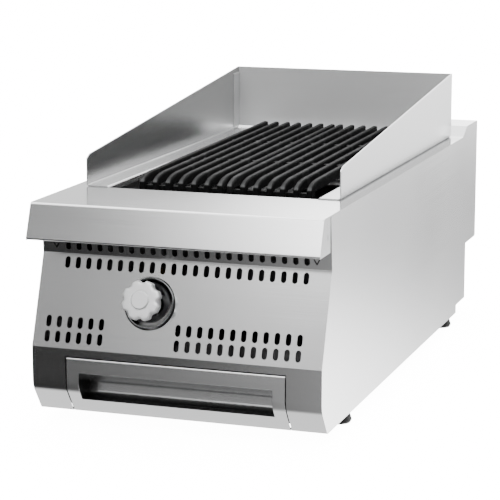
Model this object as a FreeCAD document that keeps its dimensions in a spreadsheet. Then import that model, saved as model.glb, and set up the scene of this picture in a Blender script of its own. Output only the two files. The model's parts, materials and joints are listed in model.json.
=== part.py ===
import FreeCAD, Part
import math
import os

from FreeCAD import Placement, Rotation, Vector
from Sketcher import Constraint

# Counter-top gas charbroiler grill. Millimetres, +X to the right seen from the front, +Y to the
# back, +Z up. The origin is under the middle of the appliance, on the surface that it stands on.

doc = FreeCAD.newDocument("charbroiler")
sheet_of_sizes = doc.addObject("Spreadsheet::Sheet", "Sizes")


# ---------------------------------------------------------------- sizes

class Size:
    """A number together with the expression that gives it from the spreadsheet."""

    def __init__(self, value, text):
        self.value = float(value)
        self.text = text

    def __add__(self, other):
        other = as_size(other)
        return Size(self.value + other.value, f"({self.text} + {other.text})")

    def __sub__(self, other):
        other = as_size(other)
        return Size(self.value - other.value, f"({self.text} - {other.text})")

    def __mul__(self, other):
        other = as_size(other)
        return Size(self.value * other.value, f"({self.text} * {other.text})")

    def __truediv__(self, other):
        other = as_size(other)
        return Size(self.value / other.value, f"({self.text} / {other.text})")

    def __radd__(self, other):
        return as_size(other) + self

    def __rsub__(self, other):
        return as_size(other) - self

    def __rmul__(self, other):
        return as_size(other) * self

    def __neg__(self):
        return Size(-self.value, f"(0 - {self.text})")

    def __float__(self):
        return self.value


def as_size(number):
    """Turn a plain number into a Size, so that both kinds mix in one formula."""
    if isinstance(number, Size):
        return number
    if number < 0:
        return Size(number, f"(0 - {-number})")
    return Size(number, str(number))


def size(alias, value):
    """Write one driving dimension into the spreadsheet and return it."""
    size.row += 1
    sheet_of_sizes.set(f"A{size.row}", alias)
    sheet_of_sizes.set(f"B{size.row}", str(value))
    sheet_of_sizes.setAlias(f"B{size.row}", alias)
    return Size(value, f"Sizes.{alias}")


size.row = 0

# Overall
width = size("width", 400)
depth = size("depth", 900)
deck_height = size("deck_height", 300)
foot_height = size("foot_height", 17)

# Sheet metal
sheet = size("sheet", 1.5)
deck_sheet = size("deck_sheet", 2)
thin_sheet = size("thin_sheet", 1)
bend = size("bend", 1.5)
sharp_bend = size("sharp_bend", 1)
tight_bend = size("tight_bend", 0.5)
slip = size("slip", 0.3)
seam = size("seam", 1)

# Worktop: apron at the front, raised strip at the back, opening for the grates
apron_drop = size("apron_drop", 47.5)
apron_lean = size("apron_lean", 18)
apron_lip = size("apron_lip", 25)
apron_top_bend = size("apron_top_bend", 3)
riser_rise = size("riser_rise", 15)
riser_depth = size("riser_depth", 77)
riser_ramp = size("riser_ramp", 29)
riser_bend = size("riser_bend", 12)
riser_return = size("riser_return", 15)
riser_top_bend = size("riser_top_bend", 2)
deck_side = size("deck_side", 48)
deck_front = size("deck_front", 157)
deck_rear = size("deck_rear", 134)

# Control panel and lower fascia
strip_setback = size("strip_setback", 48)
fold_setback = size("fold_setback", 55)
fold_drop = size("fold_drop", 72.5)
crease_setback = size("crease_setback", 13)
crease_height = size("crease_height", 108)
fascia_bend_height = size("fascia_bend_height", 54)
fascia_bend = size("fascia_bend", 24)
toe_setback = size("toe_setback", 39)
toe_return = size("toe_return", 26)
crease_bend = size("crease_bend", 2)
toe_bend = size("toe_bend", 4)
panel_return = size("panel_return", 17)

# Vent slots and holes in the control panel
vent_pitch = size("vent_pitch", 15)
vent_width = size("vent_width", 7.2)
vent_length = size("vent_length", 15.5)
short_vent_length = size("short_vent_length", 10.5)
vent_margin = size("vent_margin", 35)
vent_shift = size("vent_shift", 2)
top_vent_drop = size("top_vent_drop", 11.5)
hole_rise = size("hole_rise", 10)
low_vent_rise = size("low_vent_rise", 14)
low_vent_step = size("low_vent_step", 19)
left_vent_margin = size("left_vent_margin", 20)
hook_length = size("hook_length", 7)
hook_spread = size("hook_spread", 4.5)
hook_width = size("hook_width", 1.8)
cap_slot_length = size("cap_slot_length", 6)
cap_slot_width = size("cap_slot_width", 1.6)
cap_slot_setback = size("cap_slot_setback", 34)
cap_slot_drop = size("cap_slot_drop", 29)

# Cabinet
side_flange = size("side_flange", 34)
top_flange = size("top_flange", 14)
back_inset = size("back_inset", 71)
back_box_height = size("back_box_height", 121)
step_inset = size("step_inset", 132)
step_rise = size("step_rise", 13)
back_panel_lap = size("back_panel_lap", 15)

# Firebox
firebox_overhang = size("firebox_overhang", 13)
firebox_drop = size("firebox_drop", 150)
firebox_gap = size("firebox_gap", 7)
funnel_gap = size("funnel_gap", 10)
funnel_inset = size("funnel_inset", 12)
gutter_drop = size("gutter_drop", 42)
gutter_wall = size("gutter_wall", 20)
gutter_shelf = size("gutter_shelf", 25)
shield_gap = size("shield_gap", 15)

# Grates
bar_pitch = size("bar_pitch", 19)
bar_width = size("bar_width", 8)
bar_height = size("bar_height", 14)
bar_rise = size("bar_rise", 12)
bar_rounding = size("bar_rounding", 2.6)
grate_slope = size("grate_slope", 6)
grate_gap = size("grate_gap", 6)
grate_side_gap = size("grate_side_gap", 20)
grate_front_gap = size("grate_front_gap", 53)
grate_rear_gap = size("grate_rear_gap", 11)
nose_length = size("nose_length", 45)
nose_height = size("nose_height", 12)
tie_width = size("tie_width", 9)
tie_height = size("tie_height", 10)
front_tie_rise = size("front_tie_rise", 2)
front_tie_setback = size("front_tie_setback", 7.5)
front_tie_height = size("front_tie_height", 10)
shelf_drop = size("shelf_drop", 14)
rear_shelf_drop = size("rear_shelf_drop", 8)

# Splash guard
guard_front_height = size("guard_front_height", 43.5)
guard_back_height = size("guard_back_height", 102.5)
guard_corner_cut = size("guard_corner_cut", 5)
guard_flange = size("guard_flange", 31)
guard_back_flange = size("guard_back_flange", 27)
guard_slip = size("guard_slip", 2)

# Burner and radiants
burner_drop = size("burner_drop", 100)
burner_radius = size("burner_radius", 16)
burner_cross_radius = size("burner_cross_radius", 18)
burner_wall = size("burner_wall", 1.5)
burner_leg_offset = size("burner_leg_offset", 75)
burner_end_gap = size("burner_end_gap", 46)
venturi_radius = size("venturi_radius", 13)
venturi_mouth_radius = size("venturi_mouth_radius", 18)
venturi_mouth_length = size("venturi_mouth_length", 14)
venturi_reach = size("venturi_reach", 38)
port_radius = size("port_radius", 1.4)
port_pitch = size("port_pitch", 16)
port_offset = size("port_offset", 6)
radiant_drop = size("radiant_drop", 80)
radiant_half_width = size("radiant_half_width", 44)
radiant_rise = size("radiant_rise", 26)
radiant_end_gap = size("radiant_end_gap", 14)
radiant_shelf = size("radiant_shelf", 34)
saddle_length = size("saddle_length", 6)

# Knob, bezel and gas valve, measured along the knob's own axis from the face of the panel
knob_offset = size("knob_offset", -41)
knob_rise = size("knob_rise", 4)
bezel_throat = size("bezel_throat", 31)
bezel_flange = size("bezel_flange", 4.5)
bezel_floor = size("bezel_floor", 21)
bezel_depth = size("bezel_depth", 9)
bezel_rim = size("bezel_rim", 2.5)
bezel_edge = size("bezel_edge", 1.5)
knob_radius = size("knob_radius", 26.5)
knob_edge = size("knob_edge", 2.5)
knob_scallop = size("knob_scallop", 7)
knob_scallop_depth = size("knob_scallop_depth", 3.2)
knob_top = size("knob_top", 36)
knob_thickness = size("knob_thickness", 11)
knob_neck_radius = size("knob_neck_radius", 15)
knob_gap = size("knob_gap", 1.5)
knob_cap_radius = size("knob_cap_radius", 12)
knob_cap_height = size("knob_cap_height", 2)
knob_travel = size("knob_travel", 3.5)
spindle_radius = size("spindle_radius", 4)
spindle_end = size("spindle_end", 27)
running_gap = size("running_gap", 0.05)
bracket_back = size("bracket_back", 14)
bracket_width = size("bracket_width", 76)
bracket_gap = size("bracket_gap", 2.5)
bracket_foot = size("bracket_foot", 6)
nut_length = size("nut_length", 4)
inlet_reach = size("inlet_reach", 32)
outlet_rise = size("outlet_rise", 25)
pilot_boss = size("pilot_boss", 22)
bonnet_radius = size("bonnet_radius", 11)
bonnet_length = size("bonnet_length", 24)
valve_radius = size("valve_radius", 15)
valve_length = size("valve_length", 36)
valve_wall = size("valve_wall", 6)
valve_boss = size("valve_boss", 8)
inlet_boss = size("inlet_boss", 10)
plunger_radius = size("plunger_radius", 6)
plunger_disc = size("plunger_disc", 3)
plunger_rod_radius = size("plunger_rod_radius", 2)
plunger_rod_length = size("plunger_rod_length", 12)
spring_wire = size("spring_wire", 1.2)
spring_radius = size("spring_radius", 4.5)
spring_turns = size("spring_turns", 4)

# Gas train
feed_radius = size("feed_radius", 5)
feed_length = size("feed_length", 8)
injector_radius = size("injector_radius", 8)
injector_rise = size("injector_rise", 9)
nozzle_length = size("nozzle_length", 16)
nozzle_radius = size("nozzle_radius", 5)
jet_radius = size("jet_radius", 1)
supply_radius = size("supply_radius", 8)
supply_wall = size("supply_wall", 1.5)
supply_bend_end = size("supply_bend_end", 12)
supply_side_gap = size("supply_side_gap", 20)
inlet_height = size("inlet_height", 75)
inlet_thread_radius = size("inlet_thread_radius", 10.48)
inlet_bore = size("inlet_bore", 6.5)
inlet_thread_length = size("inlet_thread_length", 16)
inlet_relief_radius = size("inlet_relief_radius", 9.2)
inlet_relief_length = size("inlet_relief_length", 2)
inlet_shank_radius = size("inlet_shank_radius", 12.5)
inlet_flange_radius = size("inlet_flange_radius", 17)
inlet_flange_length = size("inlet_flange_length", 6.5)
lock_nut_length = size("lock_nut_length", 7)
pilot_offset = size("pilot_offset", -64)
pilot_radius = size("pilot_radius", 5)
pilot_length = size("pilot_length", 26)
tab_margin = size("tab_margin", 3)
small_tube_radius = size("small_tube_radius", 2)
small_tube_bend = size("small_tube_bend", 12)

# Drip drawer
drawer_width = size("drawer_width", 302)
drawer_gap = size("drawer_gap", 1.5)
drawer_top_drop = size("drawer_top_drop", 12)
drawer_top_return = size("drawer_top_return", 18)
drawer_toe_return = size("drawer_toe_return", 11)
grip_margin = size("grip_margin", 17)
grip_top_drop = size("grip_top_drop", 20)
grip_bottom_rise = size("grip_bottom_rise", 21)
grip_depth = size("grip_depth", 39)
grip_round = size("grip_round", 10)
grip_lip_setback = size("grip_lip_setback", 13)
cheek_depth = size("cheek_depth", 58)
pan_front = size("pan_front", 56)
pan_height = size("pan_height", 60)
pan_end_gap = size("pan_end_gap", 17)
pan_bend = size("pan_bend", 6)
runner_flange = size("runner_flange", 16)
runner_height = size("runner_height", 9)
runner_gap = size("runner_gap", 3.5)
runner_inset = size("runner_inset", 10)
rivet_radius = size("rivet_radius", 2.4)
rivet_head_radius = size("rivet_head_radius", 3.8)
rivet_head = size("rivet_head", 0.7)

# Feet and screws
foot_inset_share = size("foot_inset_share", 0.44)
foot_inset_front = size("foot_inset_front", 158)
foot_inset_rear = size("foot_inset_rear", 160)
foot_top_radius = size("foot_top_radius", 14)
foot_radius = size("foot_radius", 18)
foot_base_radius = size("foot_base_radius", 16)
foot_rim_height = size("foot_rim_height", 4.4)
foot_blind = size("foot_blind", 5)
screw_radius = size("screw_radius", 3)
screw_head_radius = size("screw_head_radius", 5)
screw_head = size("screw_head", 3.5)
screw_clearance = size("screw_clearance", 0.2)
back_screw_radius = size("back_screw_radius", 2)
back_screw_head = size("back_screw_head", 4)

# Flue grille
flue_length = size("flue_length", 300)
flue_width = size("flue_width", 36)
flue_rim = size("flue_rim", 5)
flue_plate = size("flue_plate", 3)
flue_bar = size("flue_bar", 7)
flue_slot = size("flue_slot", 13)

doc.recompute()

# ---------------------------------------------------------------- places worked out from the sizes

half_width = width / 2
floor_of_body = foot_height
deck_under = deck_height - deck_sheet

fold_z = deck_height - fold_drop
panel_run = fold_setback - crease_setback
panel_climb = fold_z - crease_height
panel_angle = math.atan2(float(panel_run), float(panel_climb))
knob_z = crease_height + panel_climb / 2 + knob_rise
knob_setback = crease_setback + panel_run * (knob_z - crease_height) / panel_climb
knob_forward = (
    (knob_top - knob_edge) * round(math.cos(panel_angle), 6)
    + (knob_radius - knob_edge) * round(math.sin(panel_angle), 6)
    + knob_edge
)

# The knob stands in front of the apron. The box round the whole appliance is centred on the origin.
front = (knob_forward - knob_setback - depth) / 2
rear = front + depth

opening_half = half_width - deck_side
opening_front = front + deck_front
opening_rear = rear - deck_rear

fold_y = front + fold_setback
crease_y = front + crease_setback
toe_y = front + toe_setback
strip_top_y = front + strip_setback

back_y = rear - back_inset
step_y = rear - step_inset
step_z = floor_of_body + step_rise
base_top = floor_of_body + 2 * sheet

fire_half = opening_half + firebox_overhang
fire_front = opening_front - firebox_gap
fire_rear = opening_rear + deck_sheet + firebox_overhang
fire_floor = deck_height - firebox_drop

burner_z = deck_height - burner_drop
radiant_z = deck_height - radiant_drop
burner_front = fire_front + burner_end_gap + burner_radius
burner_rear = fire_rear - burner_end_gap

grate_front = opening_front + grate_front_gap
grate_rear = opening_rear - grate_rear_gap
grate_shelf_z = deck_height - shelf_drop
rear_shelf_z = deck_height - rear_shelf_drop

knob_y = front + knob_setback
bezel_radius = bezel_throat + bezel_flange
knob_neck_start = thin_sheet - bezel_depth + knob_travel + knob_gap

drawer_half = drawer_width / 2
drawer_top = crease_height - drawer_top_drop
cutout_half = drawer_half + drawer_gap
pan_half = drawer_half - sheet
runner_outer = pan_half + runner_gap + sheet
foot_inset_side = (half_width - runner_outer) * foot_inset_share
pan_floor = base_top + sheet + slip
pan_top = pan_floor + pan_height
pan_start = front + pan_front
pan_rear = fire_rear - pan_end_gap

pipe_x = half_width - sheet - supply_side_gap
inlet_start = back_y - sheet - inlet_flange_length
pilot_x = knob_offset + pilot_offset

BARS = 1 + int(float(opening_half - grate_gap / 2 - bar_width - grate_side_gap) / float(bar_pitch))
TOP_VENTS = 1 + int(float(width - 2 * vent_margin) / float(vent_pitch))
LEFT_VENTS = 6
RIGHT_VENTS = 12
LOW_VENT_ROWS = 2
PORTS = 1 + int(float(burner_rear - burner_front - 2 * port_pitch) / float(port_pitch))
FLUE_SLOTS = int(float(flue_length) / float(flue_bar + flue_slot))
BACK_SCREW_ROWS = 3
KNOB_LOBES = 8


# ---------------------------------------------------------------- drawing helpers

def body(label):
    """Start a PartDesign body that becomes one node."""
    return doc.addObject("PartDesign::Body", label)


def attached_sketch(owner, plane, start):
    """Put an empty sketch on one of the body's origin planes, moved to `start` along the plane's axis."""
    sketch = owner.newObject("Sketcher::SketchObject", f"{owner.Name}_sketch")
    origin_plane = next(f for f in owner.Origin.OriginFeatures if f.Role == f"{plane}_Plane")
    sketch.AttachmentSupport = [(origin_plane, "")]
    sketch.MapMode = "FlatFace"
    offset = -as_size(start) if plane == "XZ" else as_size(start)
    sketch.setExpression("AttachmentOffset.Base.z", offset.text)
    return sketch


def rectangle(low, high):
    """Return a function that draws a fully bound rectangle between two corners."""
    def draw(sketch):
        (x0, y0), (x1, y1) = [[as_size(v) for v in corner] for corner in (low, high)]
        corners = [(x0, y0), (x1, y0), (x1, y1), (x0, y1)]
        points = [Vector(float(x), float(y), 0) for x, y in corners]
        first = sketch.GeometryCount
        for i in range(4):
            sketch.addGeometry(Part.LineSegment(points[i], points[(i + 1) % 4]))
        for i in range(4):
            sketch.addConstraint(Constraint("Coincident", first + i, 2, first + (i + 1) % 4, 1))
        for i, kind in enumerate(("Horizontal", "Vertical", "Horizontal", "Vertical")):
            sketch.addConstraint(Constraint(kind, first + i))
        bind(sketch, "DistanceX", first, 1, x0)
        bind(sketch, "DistanceY", first, 1, y0)
        bind(sketch, "DistanceX", first + 1, 2, x1)
        bind(sketch, "DistanceY", first + 1, 2, y1)
    return draw


def circle(centre, radius):
    """Return a function that draws a fully bound circle."""
    def draw(sketch):
        x, y = [as_size(v) for v in centre]
        at = Vector(float(x), float(y), 0)
        index = sketch.addGeometry(Part.Circle(at, Vector(0, 0, 1), float(radius)))
        bind(sketch, "DistanceX", index, 3, x)
        bind(sketch, "DistanceY", index, 3, y)
        number = sketch.addConstraint(Constraint("Radius", index, float(radius)))
        sketch.setExpression(f"Constraints[{number}]", as_size(radius).text)
    return draw


def outline(curves):
    """Return a function that draws curves worked out from the sizes, as bent sheets need."""
    def draw(sketch):
        sketch.addGeometry(curves, False)
    return draw


def bind(sketch, kind, geometry, point, value):
    """Fix a sketch point's distance from the origin and bind it to the spreadsheet."""
    number = sketch.addConstraint(Constraint(kind, -1, 1, geometry, point, float(value)))
    sketch.setExpression(f"Constraints[{number}]", value.text)


def grow(owner, plane, start, length, draw):
    """Pad a drawing from `start` towards the positive end of the axis that the plane faces."""
    sketch = attached_sketch(owner, plane, start)
    draw(sketch)
    pad = owner.newObject("PartDesign::Pad", f"{owner.Name}_pad")
    pad.Profile = sketch
    pad.Reversed = plane == "XZ"
    pad.setExpression("Length", as_size(length).text)
    doc.recompute()
    return pad


def cut(owner, plane, start, length, draw):
    """Pocket a drawing from `start` towards the positive end of the axis that the plane faces."""
    before = owner.Shape.Volume
    sketch = attached_sketch(owner, plane, start)
    draw(sketch)
    pocket = owner.newObject("PartDesign::Pocket", f"{owner.Name}_pocket")
    pocket.Profile = sketch
    pocket.Reversed = plane != "XZ"
    pocket.setExpression("Length", as_size(length).text)
    doc.recompute()
    if owner.Shape.Volume > before - 1e-6:
        raise RuntimeError(f"a pocket in {owner.Name} cuts nothing")
    return pocket


def repeat(owner, feature, axis, spacing, count):
    """Repeat a feature along one of the body's axes and make the pattern the tip."""
    pattern = owner.newObject("PartDesign::LinearPattern", f"{owner.Name}_row")
    pattern.Originals = [feature]
    line = next(f for f in owner.Origin.OriginFeatures if f.Role == f"{axis}_Axis")
    pattern.Direction = (line, [""])
    pattern.Occurrences = count
    pattern.setExpression("Length", (as_size(spacing) * (count - 1)).text)
    owner.Tip = pattern
    doc.recompute()
    return pattern


def block(label, low, sides):
    """A plain box from its lowest corner and its three sides."""
    box = doc.addObject("Part::Box", label)
    for name, value in zip(("Length", "Width", "Height"), sides):
        box.setExpression(name, as_size(value).text)
    for name, value in zip("xyz", low):
        box.setExpression(f"Placement.Base.{name}", as_size(value).text)
    return box


def rod(label, centre, direction, radius, length):
    """A plain cylinder from the centre of its first end, along a direction."""
    cylinder = doc.addObject("Part::Cylinder", label)
    cylinder.setExpression("Radius", as_size(radius).text)
    cylinder.setExpression("Height", as_size(length).text)
    cylinder.Placement = Placement(Vector(), Rotation(Vector(0, 0, 1), direction))
    for name, value in zip("xyz", centre):
        cylinder.setExpression(f"Placement.Base.{name}", as_size(value).text)
    return cylinder


def fuse(label, pieces):
    """Join pieces into one solid."""
    joined = doc.addObject("Part::MultiFuse", label)
    joined.Shapes = pieces
    joined.Refine = True
    return joined


def subtract(label, base, tool):
    """Cut one piece out of another."""
    result = doc.addObject("Part::Cut", label)
    result.Base = base
    result.Tool = tool
    return result


def group(label, pieces):
    """Keep separate solids together as one node."""
    gathered = doc.addObject("Part::Compound", label)
    gathered.Links = pieces
    return gathered


# ---------------------------------------------------------------- bent sheets

def rounded(points, radii):
    """Turn corner points into line segments and the arcs that round the inner corners."""
    corners = [Vector(float(a), float(b), 0) for a, b in points]
    curves = []
    last = corners[0]
    for i in range(1, len(corners) - 1):
        along = (corners[i] - corners[i - 1]).normalize()
        onward = (corners[i + 1] - corners[i]).normalize()
        turn = along.getAngle(onward)
        reach = radii[i] * math.tan(turn / 2)
        start = corners[i] - along * reach
        end = corners[i] + onward * reach
        inward = (onward - along).normalize()
        middle = corners[i] + inward * (radii[i] / math.cos(turn / 2) - radii[i])
        if start.distanceToPoint(last) > 1e-6:
            curves.append(Part.LineSegment(last, start))
        curves.append(Part.Arc(start, middle, end))
        last = end
    curves.append(Part.LineSegment(last, corners[-1]))
    return curves


def offset_corners(points, thickness, side):
    """Shift a path sideways by the sheet's thickness: side 1 is to the left of its direction."""
    path = [Vector(float(a), float(b), 0) for a, b in points]
    normals = []
    for first, second in zip(path, path[1:]):
        along = (second - first).normalize()
        normals.append(Vector(-along.y, along.x, 0) * side)
    shifted = [path[0] + normals[0] * thickness]
    for i in range(1, len(path) - 1):
        mitre = (normals[i - 1] + normals[i]).normalize()
        shifted.append(path[i] + mitre * (thickness / mitre.dot(normals[i])))
    shifted.append(path[-1] + normals[-1] * thickness)
    return [(p.x, p.y) for p in shifted]


def bend_radii(points, thickness, side, inner):
    """Radii of both faces at each corner: the face outside the bend has the thickness added."""
    path = [Vector(float(a), float(b), 0) for a, b in points]
    own, other = [0.0] * len(path), [0.0] * len(path)
    for i in range(1, len(path) - 1):
        turn = (path[i] - path[i - 1]).cross(path[i + 1] - path[i]).z * side
        own[i] = inner[i] + (thickness if turn > 0 else 0)
        other[i] = inner[i] + (0 if turn > 0 else thickness)
    return own, other


def both_faces(points, thickness, side, inner):
    """The curves of a bent sheet's two faces, from its outer corners and its inner bend radii."""
    thickness = float(thickness)
    own, other = bend_radii(points, thickness, side, inner)
    return rounded(points, own), rounded(offset_corners(points, thickness, side), other)


def bent_sheet(points, thickness, side, inner=None):
    """The closed outline of a bent sheet, drawn from the corners of one face."""
    inner = inner or [float(bend)] * len(points)
    face, back = both_faces(points, thickness, side, inner)
    caps = [
        Part.LineSegment(face[-1].EndPoint, back[-1].EndPoint),
        Part.LineSegment(back[0].StartPoint, face[0].StartPoint),
    ]
    return outline(face + back + caps)


def closed(points):
    """A closed outline through plain corner points."""
    corners = [Vector(float(a), float(b), 0) for a, b in points]
    ring = zip(corners, corners[1:] + corners[:1])
    return outline([Part.LineSegment(first, second) for first, second in ring])


def smooth_bar(points, radius, bend_radius):
    """A round bar that follows straight runs joined by tangent arcs."""
    route = [Vector(*[float(v) for v in point]) for point in points]
    edges = []
    last = route[0]
    for i in range(1, len(route) - 1):
        along = (route[i] - route[i - 1]).normalize()
        onward = (route[i + 1] - route[i]).normalize()
        turn = along.getAngle(onward)
        reach = float(bend_radius) * math.tan(turn / 2)
        start = route[i] - along * reach
        end = route[i] + onward * reach
        inward = (onward - along).normalize()
        middle = route[i] + inward * float(bend_radius) * (1 / math.cos(turn / 2) - 1)
        edges.append(Part.LineSegment(last, start).toShape())
        edges.append(Part.Arc(start, middle, end).toShape())
        last = end
    edges.append(Part.LineSegment(last, route[-1]).toShape())
    first_run = (route[1] - route[0]).normalize()
    ring = Part.Wire([Part.Circle(route[0], first_run, float(radius)).toShape()])
    return Part.Wire(edges).makePipeShell([ring], True, False)


# ---------------------------------------------------------------- cabinet

WORKTOP_PATH = [
    (front + apron_lip, deck_height - apron_drop),
    (front, deck_height - apron_drop),
    (front + apron_lean, deck_height),
    (rear - riser_depth - riser_ramp, deck_height),
    (rear - riser_depth, deck_height + riser_rise),
    (rear, deck_height + riser_rise),
    (rear, deck_height + riser_rise - riser_return),
]
WORKTOP_BENDS = [
    0.0,
    *map(float, (tight_bend, apron_top_bend, riser_bend, riser_top_bend, sharp_bend)),
    0.0,
]

PANEL_PATH = [
    (strip_top_y + panel_return, deck_under),
    (strip_top_y, deck_under),
    (fold_y, fold_z),
    (crease_y, crease_height),
    (crease_y, fascia_bend_height),
    (toe_y, floor_of_body),
    (toe_y + toe_return, floor_of_body),
]
PANEL_BENDS = [0.0, *map(float, (sharp_bend, sharp_bend, crease_bend, fascia_bend, toe_bend)), 0.0]


def worktop():
    """Deck with its sloping front apron, end caps, raised rear strip, grate opening and flue outlet."""
    top = body("worktop")
    grow(top, "YZ", -half_width, width, bent_sheet(WORKTOP_PATH, deck_sheet, -1, WORKTOP_BENDS))
    cap_rear = strip_top_y - deck_sheet
    cap = [
        (front + sheet, deck_height - apron_drop + deck_sheet / 2),
        (front + apron_lean, deck_height - deck_sheet / 2),
        (cap_rear, deck_height - deck_sheet / 2),
        (cap_rear, deck_height - apron_drop),
        (front + sheet, deck_height - apron_drop),
    ]
    grow(top, "YZ", -half_width, sheet, closed(cap))
    grow(top, "YZ", half_width - sheet, sheet, closed(cap))
    slot_y = front + cap_slot_setback
    slot_z = deck_height - cap_slot_drop
    cap_slot = rectangle((slot_y, slot_z), (slot_y + cap_slot_width, slot_z + cap_slot_length))
    for start in (-half_width - seam, half_width - sheet - seam):
        cut(top, "YZ", start, sheet + 2 * seam, cap_slot)
    opening = rectangle((-opening_half, opening_front), (opening_half, opening_rear))
    cut(top, "XY", deck_under - seam, deck_sheet + 2 * seam, opening)
    flue_y = rear - riser_depth / 2
    outlet = rectangle(
        (-flue_length / 2, flue_y - flue_width / 2), (flue_length / 2, flue_y + flue_width / 2)
    )
    cut(top, "XY", deck_under + riser_rise - seam, deck_sheet + 2 * seam, outlet)
    return top


def side_panel(label, side):
    """One side of the cabinet: a cut plate that follows the bent sheets, with flanges top and bottom."""
    plate = body(label)
    panel_back = both_faces(PANEL_PATH, sheet, 1, PANEL_BENDS)[1]
    deck_back = both_faces(WORKTOP_PATH, deck_sheet, -1, WORKTOP_BENDS)[1]
    under_deck = [curve for curve in deck_back if curve.StartPoint.y > float(deck_under) - 1e-6]
    under_deck[0] = Part.LineSegment(
        Vector(float(strip_top_y + panel_return), float(deck_under), 0), under_deck[0].EndPoint
    )
    lowest_return = under_deck[-1].EndPoint
    box_floor = back_box_height + sheet
    corners = [
        (lowest_return.x, lowest_return.y),
        (rear - deck_sheet, box_floor + bend),
        (rear - deck_sheet - bend, box_floor),
        (back_y, box_floor),
        (back_y, step_z),
        (step_y, step_z),
        (step_y, floor_of_body),
        (toe_y + toe_return, floor_of_body),
    ]
    points = [Vector(float(a), float(b), 0) for a, b in corners]
    points.append(panel_back[-1].EndPoint)
    edges = [Part.LineSegment(a, b) for a, b in zip(points, points[1:])]
    edges += panel_back
    edges.append(Part.LineSegment(panel_back[0].StartPoint, under_deck[0].StartPoint))
    edges += under_deck
    start = half_width - sheet if side > 0 else -half_width
    grow(plate, "YZ", start, sheet, outline(edges))
    inner = half_width - sheet - side_flange
    flange_x = inner if side > 0 else -half_width + sheet
    flange_front = toe_y + toe_return + seam
    low = rectangle((flange_x, flange_front), (flange_x + side_flange, step_y - sheet))
    grow(plate, "XY", floor_of_body, sheet, low)
    top_x = half_width - sheet - top_flange if side > 0 else -half_width + sheet
    riser_start = rear - riser_depth - riser_ramp - riser_bend
    high = rectangle((top_x, strip_top_y + panel_return + seam), (top_x + top_flange, riser_start))
    grow(plate, "XY", deck_under - sheet, sheet, high)
    for y in (front + foot_inset_front, rear - foot_inset_rear):
        hole = circle((side * (half_width - foot_inset_side), y), screw_radius + screw_clearance)
        cut(plate, "XY", floor_of_body - seam, sheet + 2 * seam, hole)
    return plate


def vent(centre_x, centre_z, length=vent_length * round(math.cos(panel_angle), 6)):
    """One upright slot with round ends, `length` high seen from straight in front."""
    def draw(sketch):
        r = float(vent_width) / 2
        x, z = float(centre_x), float(centre_z)
        reach = float(length) / 2 - r
        sketch.addGeometry([
            Part.LineSegment(Vector(x - r, z - reach, 0), Vector(x - r, z + reach, 0)),
            Part.Arc(Vector(x - r, z + reach, 0), Vector(x, z + reach + r, 0), Vector(x + r, z + reach, 0)),
            Part.LineSegment(Vector(x + r, z + reach, 0), Vector(x + r, z - reach, 0)),
            Part.Arc(Vector(x + r, z - reach, 0), Vector(x, z - reach - r, 0), Vector(x - r, z - reach, 0)),
        ], False)
    return draw


def control_panel():
    """Sloping control panel and lower fascia in one bent sheet, with vents and the drawer's cut-out."""
    panel = body("control_panel")
    grow(panel, "YZ", -half_width, width, bent_sheet(PANEL_PATH, sheet, 1, PANEL_BENDS))
    reach = fold_setback + toe_return + toe_setback
    drawer_hole = rectangle((-cutout_half, 0), (cutout_half, drawer_top + drawer_gap))
    cut(panel, "XZ", front, reach, drawer_hole)
    knob_hole = circle((knob_offset, knob_z), bezel_throat + running_gap)
    cut(panel, "XZ", front, reach, knob_hole)
    row_start = vent_shift - vent_pitch * (TOP_VENTS - 1) / 2
    row_end = row_start + vent_pitch * (TOP_VENTS - 1)
    top_vent = cut(panel, "XZ", front, reach, vent(row_start, fold_z - top_vent_drop))
    repeat(panel, top_vent, "X", vent_pitch, TOP_VENTS)
    short_vent = cut(panel, "XZ", front, reach, vent(row_start, fold_z + hole_rise, short_vent_length))
    repeat(panel, short_vent, "X", vent_pitch, TOP_VENTS)
    for row in range(LOW_VENT_ROWS):
        z = crease_height + low_vent_rise + low_vent_step * row
        left = cut(panel, "XZ", front, reach, vent(left_vent_margin - half_width, z))
        repeat(panel, left, "X", vent_pitch, LEFT_VENTS)
        right = cut(panel, "XZ", front, reach, vent(row_end - vent_pitch * (RIGHT_VENTS - 1), z))
        repeat(panel, right, "X", vent_pitch, RIGHT_VENTS)
    low = fold_z + hole_rise - hook_length / 2
    high = low + hook_length
    for side in (-1, 1):
        x = side * (half_width - left_vent_margin)
        hook = [
            (x - hook_spread, high),
            (x - hook_width / 2, low),
            (x + hook_width / 2, low),
            (x + hook_spread, high),
            (x + hook_spread - hook_width, high),
            (x, low + hook_width),
            (x - hook_spread + hook_width, high),
        ]
        cut(panel, "XZ", front, reach, closed(hook))
    return panel


def base_plate():
    """Floor of the cabinet with a step up at the back."""
    plate = body("base_plate")
    inside = half_width - sheet
    path = [
        (toe_y + toe_return + seam, floor_of_body + sheet),
        (step_y, floor_of_body + sheet),
        (step_y, step_z + sheet),
        (back_y - sheet, step_z + sheet),
    ]
    grow(plate, "YZ", -inside, 2 * inside, bent_sheet(path, sheet, 1))
    for x in (foot_inset_side - half_width, half_width - foot_inset_side):
        for y in (front + foot_inset_front, rear - foot_inset_rear):
            hole = circle((x, y), screw_radius + screw_clearance)
            cut(plate, "XY", floor_of_body, 3 * sheet, hole)
    return plate


def rear_panel():
    """Upright back of the cabinet, with the gas inlet's hole and its screw holes."""
    panel = body("rear_panel")
    inside = half_width - sheet
    face = rectangle((-inside, step_z + 2 * sheet), (inside, back_box_height + back_panel_lap))
    grow(panel, "XZ", back_y - sheet, sheet, face)
    inlet = circle((pipe_x, inlet_height), inlet_shank_radius + screw_clearance)
    cut(panel, "XZ", back_y - 2 * sheet, 3 * sheet, inlet)
    for x, z in back_screw_places():
        cut(panel, "XZ", back_y - 2 * sheet, 3 * sheet, circle((x, z), back_screw_radius + screw_clearance))
    return panel


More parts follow.
